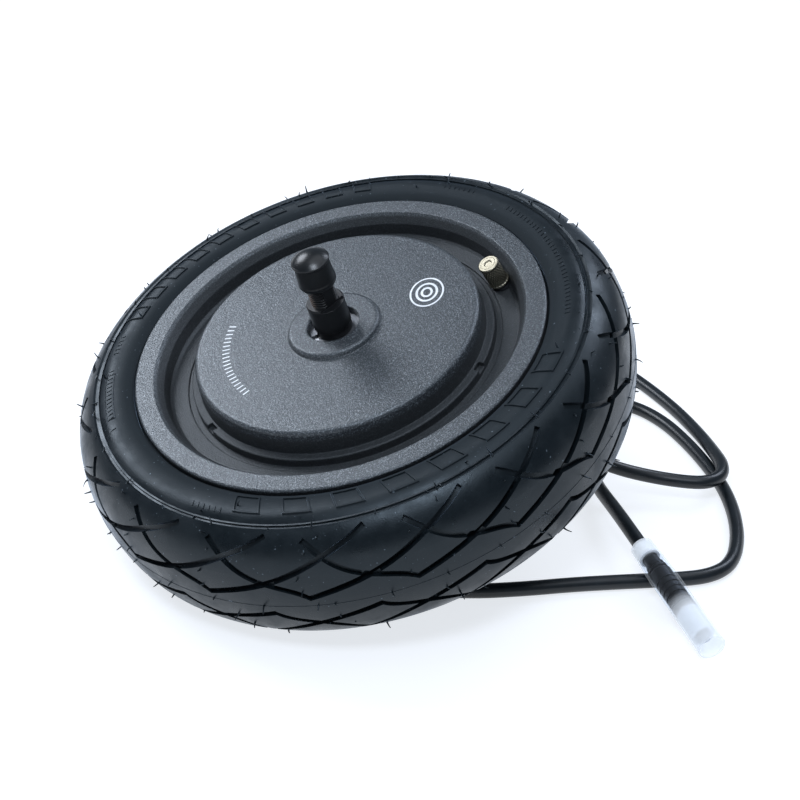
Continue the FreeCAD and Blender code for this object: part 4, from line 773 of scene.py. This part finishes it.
# The grain of a coil is its wires, nearly a millimetre thick under clear enamel.
finish("copper_enamel", "copper_wire_enamelled", "#a4532a", "#bb6636", 0.28,
       metallic=0.9, grain=0.9, depth=0.15)
# Bare die cast aluminium is pale and frosted.
finish("cast_aluminium", "aluminium_die_cast", "#9c9ea1", "#adafb2", 0.5,
       metallic=1.0, grain=0.7, depth=0.03)
# Ground steel shows a blurred bright reflection.
finish("bearing_steel", "bearing_steel_ground", "#8f9194", "#9fa1a4", 0.34,
       metallic=1.0, grain=0.15, depth=0.002)
# Pressed brass is yellow, with softly blurred reflections.
finish("cage_brass", "brass_cage_pressed", "#b08a45", "#c09a52", 0.3,
       metallic=1.0, grain=0.4, depth=0.006)
# Phosphated spring steel is a darker, duller grey.
finish("spring_steel", "spring_steel_phosphated", "#6a6c6f", "#7a7c80", 0.4,
       metallic=0.9, grain=0.2, depth=0.002)
# Gold plating keeps its shine.
finish("pin_gold", "contact_pins_gold_plated", "#caa052", "#d8b062", 0.22,
       metallic=1.0, grain=0.2, depth=0.002)
# Nickel over brass, dulled by handling, with a warm cast.
finish("valve_nickel", "nickel_plated_brass", "#8b8574", "#9c9685", 0.42,
       metallic=1.0, grain=0.3, depth=0.004)
print("plain finishes", len(FINISHES))

# %% [markdown]
# ## Powder coat
# The drum and its covers have a sandy powder coat: a dark grey film with grains of about half a
# millimetre that catch the light one by one. Two sizes of noise give the relief. The tops of the
# finer one are painted paler, partly as the grain's own tone and partly as painted glints, and the
# shine varies with it. Down in the recess between rim and cover the colour is painted darker as
# painted shade, with fewer pale tops and a duller film: its tone goes over from the shaded recess
# to the open face by the height above the wheel's middle.


# %% Places on the wheel
def wheel_place(tree):
    """Nodes for a point's place, its height along the axle, its arm from the axle and the arm's length.

    The height is (place - middle) dot axle, and the arm is place - middle - height * axle.
    """
    place = add(tree, "TexCoord").outputs["Object"]
    centred = add(tree, "VectorMath", {0: place, 1: MIDDLE.tolist()}, operation="SUBTRACT").outputs[0]
    height = add(tree, "VectorMath", {0: centred, 1: AXLE.tolist()}, operation="DOT_PRODUCT").outputs["Value"]
    rise = add(tree, "VectorMath", {0: AXLE.tolist(), "Scale": height}, operation="SCALE").outputs[0]
    arm = add(tree, "VectorMath", {0: centred, 1: rise}, operation="SUBTRACT").outputs[0]
    off = add(tree, "VectorMath", {0: arm}, operation="LENGTH").outputs["Value"]
    return place, height, arm, off


# %% Powder coat
# Sizes in mm: heights where the painted shade of the recess ends and the open face begins, the
# three sizes of noise, the relief's depth and the radius of the edges.
RECESS_SHADE_LOW = 28.6
RECESS_SHADE_HIGH = 30.8
SAND = 0.62
LUMPS = 1.7
CLOUDS = 45
COAT_RELIEF = 0.18
COAT_EDGE = 0.9
# Shares: the coarse noise in the relief, and the pale tops (grain tone and painted glints) that are
# left in the recess's painted shade.
LUMP_SHARE = 0.6
RECESS_SHADE_TOPS = 0.15
RECESS_ROUGH = 0.60
FILM_ROUGH = 0.44
RUBBED_ROUGH = 0.32


def powder_coat(slot, name):
    """Sandy film: two sizes of noise as relief, pale grain tops that are partly painted glints, rounded
    edges, and painted shade in the recess.
    """
    material, tree = empty_material(name)
    place, height, _, _ = wheel_place(tree)
    grain = add(tree, "TexNoise", {"Vector": place, "Scale": per_size(SAND), "Detail": 2.0, "Roughness": 0.6})
    coarse = add(tree, "TexNoise", {"Vector": place, "Scale": per_size(LUMPS), "Detail": 2.0})
    cloud = add(tree, "TexNoise", {"Vector": place, "Scale": per_size(CLOUDS), "Detail": 2.0})
    level = add(tree, "Math", {0: height}, operation="ABSOLUTE").outputs[0]
    unshaded_face = add(tree, "MapRange", {
        "Value": level, "From Min": RECESS_SHADE_LOW * MM, "From Max": RECESS_SHADE_HIGH * MM,
    }, interpolation_type="SMOOTHSTEP").outputs["Result"]
    film = add(tree, "MixRGB", {
        "Fac": cloud.outputs["Fac"], "Color1": linear("#1f2225"), "Color2": linear("#272b2f"),
    })
    # Towards the recess the colour goes over to near black #0f1113: this is painted shade.
    body = add(tree, "MixRGB", {
        "Fac": unshaded_face, "Color1": linear("#0f1113"), "Color2": film.outputs["Color"],
    })
    # Pale tops #72787d on the finer grain: partly the grain's own tone, partly painted glints. Fewer are kept
    # in the recess's painted shade.
    pale = add(tree, "MapRange", {"Value": grain.outputs["Fac"], "From Min": 0.50, "From Max": 0.70})
    shown = add(tree, "MapRange", {"Value": unshaded_face, "To Min": RECESS_SHADE_TOPS}).outputs["Result"]
    pale_tops_and_glints = add(tree, "Math", {0: pale.outputs["Result"], 1: shown}, operation="MULTIPLY")
    colour = add(tree, "MixRGB", {
        "Fac": pale_tops_and_glints.outputs[0], "Color1": body.outputs["Color"], "Color2": linear("#72787d"),
    })
    rubbed = add(tree, "MapRange", {
        "Value": grain.outputs["Fac"], "From Min": 0.35, "From Max": 0.7,
        "To Min": FILM_ROUGH, "To Max": RUBBED_ROUGH,
    })
    shine = add(tree, "MapRange", {
        "Value": unshaded_face, "To Min": RECESS_ROUGH, "To Max": rubbed.outputs["Result"],
    })
    bumps = add(tree, "Math", {0: coarse.outputs["Fac"], 1: LUMP_SHARE, 2: grain.outputs["Fac"]},
                operation="MULTIPLY_ADD")
    rounded = add(tree, "Bevel", {"Radius": COAT_EDGE * MM}, samples=EDGE_SAMPLES)
    relief = add(tree, "Bump", {
        "Height": bumps.outputs[0], "Distance": COAT_RELIEF * MM, "Strength": 1.0,
        "Normal": rounded.outputs["Normal"],
    })
    shader = add(tree, "BsdfPrincipled", {
        "Base Color": colour.outputs["Color"], "Roughness": shine.outputs["Result"],
        "Specular IOR Level": 1.0, "Specular Tint": linear("#eef5fa"),
        "Normal": relief.outputs["Normal"],
    })
    add(tree, "OutputMaterial", {"Surface": shader.outputs[0]})
    FINISHES[slot] = material


powder_coat("powder_coat", "powder_coat_sandy_black")

# %% [markdown]
# ## Tyre rubber
# New moulded rubber is black with a bluish bloom. It has a satin sheen that changes in soft patches
# and is duller at the lip beside the rim, fine pores from the mould, and here and there a rubbed spot
# that is a little greyer or a speck of dust.

# %% Tyre rubber
# Sizes in mm: the radii between which the dull lip goes over into the satin side, the sizes of the
# noise for bloom, rubbed spots, dust and pores, and the depth of the pores.
LIP_INNER = 98.0
LIP_OUTER = 108.0
BLOOM = 16
SPOTS = 3.2
DUST = 1.5
PORES = 0.6
PORE_DEPTH = 0.035
LIP_ROUGH = 0.80
POLISHED_ROUGH = 0.24
DULL_ROUGH = 0.48


def tyre_rubber(slot, name):
    """Satin black: tone and sheen drift over centimetres, with pores, rubbed spots and dust."""
    material, tree = empty_material(name)
    place, _, _, off = wheel_place(tree)
    bloom = add(tree, "TexNoise", {
        "Vector": place, "Scale": per_size(BLOOM), "Detail": 6.0, "Roughness": 0.65,
    })
    tone = add(tree, "MixRGB", {
        "Fac": bloom.outputs["Fac"], "Color1": linear("#0a0f12"), "Color2": linear("#12191d"),
    })
    wear = add(tree, "TexNoise", {"Vector": place, "Scale": per_size(SPOTS), "Detail": 5.0, "Roughness": 0.7})
    spots = add(tree, "MapRange", {"Value": wear.outputs["Fac"], "From Min": 0.64, "From Max": 0.78})
    colour = add(tree, "MixRGB", {
        "Fac": spots.outputs["Result"], "Color1": tone.outputs["Color"], "Color2": linear("#303a41"),
    })
    dust = add(tree, "TexNoise", {"Vector": place, "Scale": per_size(DUST), "Detail": 1.0})
    specks = add(tree, "MapRange", {"Value": dust.outputs["Fac"], "From Min": 0.74, "From Max": 0.80})
    dusty = add(tree, "MixRGB", {
        "Fac": specks.outputs["Result"], "Color1": colour.outputs["Color"], "Color2": linear("#5d676f"),
    })
    satin = add(tree, "MapRange", {
        "Value": bloom.outputs["Fac"], "From Min": 0.36, "From Max": 0.64,
        "To Min": POLISHED_ROUGH, "To Max": DULL_ROUGH,
    })
    sheen = add(tree, "MapRange", {
        "Value": off, "From Min": LIP_INNER * MM, "From Max": LIP_OUTER * MM,
        "To Min": LIP_ROUGH, "To Max": satin.outputs["Result"],
    })
    pores = add(tree, "TexNoise", {"Vector": place, "Scale": per_size(PORES), "Detail": 2.0})
    relief = add(tree, "Bump", {
        "Height": pores.outputs["Fac"], "Distance": PORE_DEPTH * MM, "Strength": 1.0,
    })
    shader = add(tree, "BsdfPrincipled", {
        "Base Color": dusty.outputs["Color"], "Roughness": sheen.outputs["Result"],
        "Specular IOR Level": 0.42, "Specular Tint": linear("#dcebf5"),
        "Sheen Weight": 0.4, "Sheen Roughness": 0.25, "Sheen Tint": linear("#bcd2ea"),
        "Normal": relief.outputs["Normal"],
    })
    add(tree, "OutputMaterial", {"Surface": shader.outputs[0]})
    FINISHES[slot] = material


tyre_rubber("tyre_rubber", "tyre_rubber_moulded")

# %% [markdown]
# ## Axle
# The axle is turned steel with a black finish. Its thread is too fine to model: its ridges follow a
# wave along the axle that only acts between the shoulder and the end, and only on the round parts,
# not on the flats. On one side of the axle, where something rubbed along it, the finish is worn off
# the crests of the ridges and coppery brown metal shows.

# %% Axle finish
# Sizes in mm; the thread starts at a height above the wheel's middle, and the flats lie nearer to the
# axle's middle line than FRONT_ROUND. WORN_SIDE is an azimuth.
THREAD_PITCH = 1.25
THREAD_START = 50.2
THREAD_DEPTH = 0.3
FRONT_ROUND = 5.6
WORN_SIDE = 140
STEEL_GRAIN = 0.5
STEEL_RELIEF = 0.01
STEEL_EDGE = 0.3


def axle_finish(slot, name):
    """Black finish, with a thread's ridges where the place along and off the axle says so.

    The ridges are sin(2 pi * height / pitch), times one on the thread and times nought elsewhere.
    """
    material, tree = empty_material(name)
    place, height, arm, off = wheel_place(tree)
    per_metre = 2 * math.pi / (THREAD_PITCH * MM)
    turns = add(tree, "Math", {0: height, 1: per_metre}, operation="MULTIPLY").outputs[0]
    wave = add(tree, "Math", {0: turns}, operation="SINE").outputs[0]
    beyond = add(tree, "Math", {0: height, 1: THREAD_START * MM}, operation="GREATER_THAN").outputs[0]
    round_part = add(tree, "Math", {0: off, 1: FRONT_ROUND * MM}, operation="GREATER_THAN").outputs[0]
    mask = add(tree, "Math", {0: beyond, 1: round_part}, operation="MULTIPLY").outputs[0]
    ridges = add(tree, "Math", {0: wave, 1: mask}, operation="MULTIPLY").outputs[0]
    worn_way = polar(1.0, WORN_SIDE, 0.0) @ WHEEL_AXES
    way = add(tree, "VectorMath", {0: arm}, operation="NORMALIZE").outputs[0]
    facing = add(tree, "VectorMath", {0: way, 1: worn_way.tolist()}, operation="DOT_PRODUCT").outputs["Value"]
    rubbed = add(tree, "MapRange", {"Value": facing, "From Min": 0.55, "From Max": 0.85}).outputs["Result"]
    crests = add(tree, "MapRange", {"Value": ridges, "From Min": 0.1, "From Max": 0.8}).outputs["Result"]
    worn = add(tree, "Math", {0: crests, 1: rubbed}, operation="MULTIPLY").outputs[0]
    fine = add(tree, "TexNoise", {"Vector": place, "Scale": per_size(STEEL_GRAIN), "Detail": 3.0})
    black = add(tree, "MixRGB", {
        "Fac": fine.outputs["Fac"], "Color1": linear("#0c0d0f"), "Color2": linear("#17181a"),
    })
    colour = add(tree, "MixRGB", {"Fac": worn, "Color1": black.outputs["Color"], "Color2": linear("#b89f8e")})
    rounded = add(tree, "Bevel", {"Radius": STEEL_EDGE * MM}, samples=EDGE_SAMPLES)
    grain = add(tree, "Bump", {
        "Height": fine.outputs["Fac"], "Distance": STEEL_RELIEF * MM, "Strength": 1.0,
        "Normal": rounded.outputs["Normal"],
    })
    relief = add(tree, "Bump", {
        "Height": ridges, "Distance": THREAD_DEPTH * MM, "Strength": 1.0,
        "Normal": grain.outputs["Normal"],
    })
    shader = add(tree, "BsdfPrincipled", {
        "Base Color": colour.outputs["Color"], "Roughness": 0.34, "Metallic": worn,
        "Normal": relief.outputs["Normal"],
    })
    add(tree, "OutputMaterial", {"Surface": shader.outputs[0]})
    FINISHES[slot] = material


axle_finish("axle_black", "axle_steel_black_oxide")

# %% [markdown]
# ## Clear guard
# The guard over the plug is a soft clear tube. Light goes straight through most of it. It turns milky
# where it is seen edge on, at its neck, and towards its open end, where it hasn't been flattened by
# the plug and its wall shows more haze. The milky part also glows faintly by itself: painted light.

# %% Clear guard
CLEAR_HAZE = 0.01
MILKY_HAZE = 0.42
EDGE_HAZE = 0.8
EDGE_POWER = 5.0
# Share of the tube's length, and the haze there.
HAZE_ALONG = [
    (0.10, MILKY_HAZE), (0.16, CLEAR_HAZE), (0.56, CLEAR_HAZE), (0.68, MILKY_HAZE), (1.0, MILKY_HAZE),
]


def guard_finish(slot, name):
    """A mix of clear and milky, by how far along the tube a point is and by how the wall is seen.

    The share of milky is haze + EDGE_HAZE * facing to the power EDGE_POWER, with facing 0 head on.
    """
    material, tree = empty_material(name)
    place = add(tree, "TexCoord").outputs["Object"]
    near = (GUARD_NEAR * MM).tolist()
    centred = add(tree, "VectorMath", {0: place, 1: near}, operation="SUBTRACT").outputs[0]
    reach = add(tree, "VectorMath", {0: centred, 1: along.tolist()}, operation="DOT_PRODUCT").outputs["Value"]
    length = np.linalg.norm(GUARD_FAR - GUARD_NEAR) * MM
    share = add(tree, "MapRange", {"Value": reach, "From Min": 0.0, "From Max": length}).outputs["Result"]
    haze = add(tree, "ValToRGB", {"Fac": share})
    stops = haze.color_ramp.elements
    for stop, (position, value) in zip(stops, HAZE_ALONG):
        stop.position = position
        stop.color = (value, value, value, 1)
    for position, value in HAZE_ALONG[len(stops):]:
        stops.new(position).color = (value, value, value, 1)
    facing = add(tree, "LayerWeight", {"Blend": 0.35}).outputs["Facing"]
    rim = add(tree, "Math", {0: facing, 1: EDGE_POWER}, operation="POWER").outputs[0]
    amount = add(tree, "Math", {0: rim, 1: EDGE_HAZE, 2: haze.outputs["Color"]}, operation="MULTIPLY_ADD")
    clear = add(tree, "BsdfTransparent", {"Color": linear("#f8fbff")})
    # The milky shader emits a faint glow (#f2f7fc at 0.35): painted light that lifts it towards white.
    milky_glow = add(tree, "BsdfPrincipled", {
        "Base Color": linear("#f4f5f6"), "Roughness": 0.28,
        "Emission Color": linear("#f2f7fc"), "Emission Strength": 0.35,
    })
    mixed = add(tree, "MixShader", {0: amount.outputs[0], 1: clear.outputs[0], 2: milky_glow.outputs[0]})
    add(tree, "OutputMaterial", {"Surface": mixed.outputs[0]})
    FINISHES[slot] = material


guard_finish("guard_clear", "guard_tube_clear")
print("finishes", sorted(FINISHES))

# %% [markdown]
# ## Dressing
# Each slot of a CAD node already holds a plain material with the slot's name, so the new finish is
# found by that name. The new pieces have no slots yet, and each gets its finish as its only one.

# %% Dress the frame
NEW_PIECES = [
    (cable, "cable_jacket"), (whiskers, "tyre_rubber"), (parting, "tyre_rubber"),
    (raised_frames, "tyre_rubber"), (raised_ticks, "tyre_rubber"), (dust_cap, "valve_nickel"),
    (print_ticks, "print_white"), (print_rings, "print_white"),
]
for node in frame["nodes"].values():
    for holder in node.material_slots:
        holder.material = FINISHES[holder.material.name]
for piece, finish_name in NEW_PIECES:
    piece.data.materials.append(FINISHES[finish_name])

# %% Bring the scene up to date
bpy.context.view_layer.update()
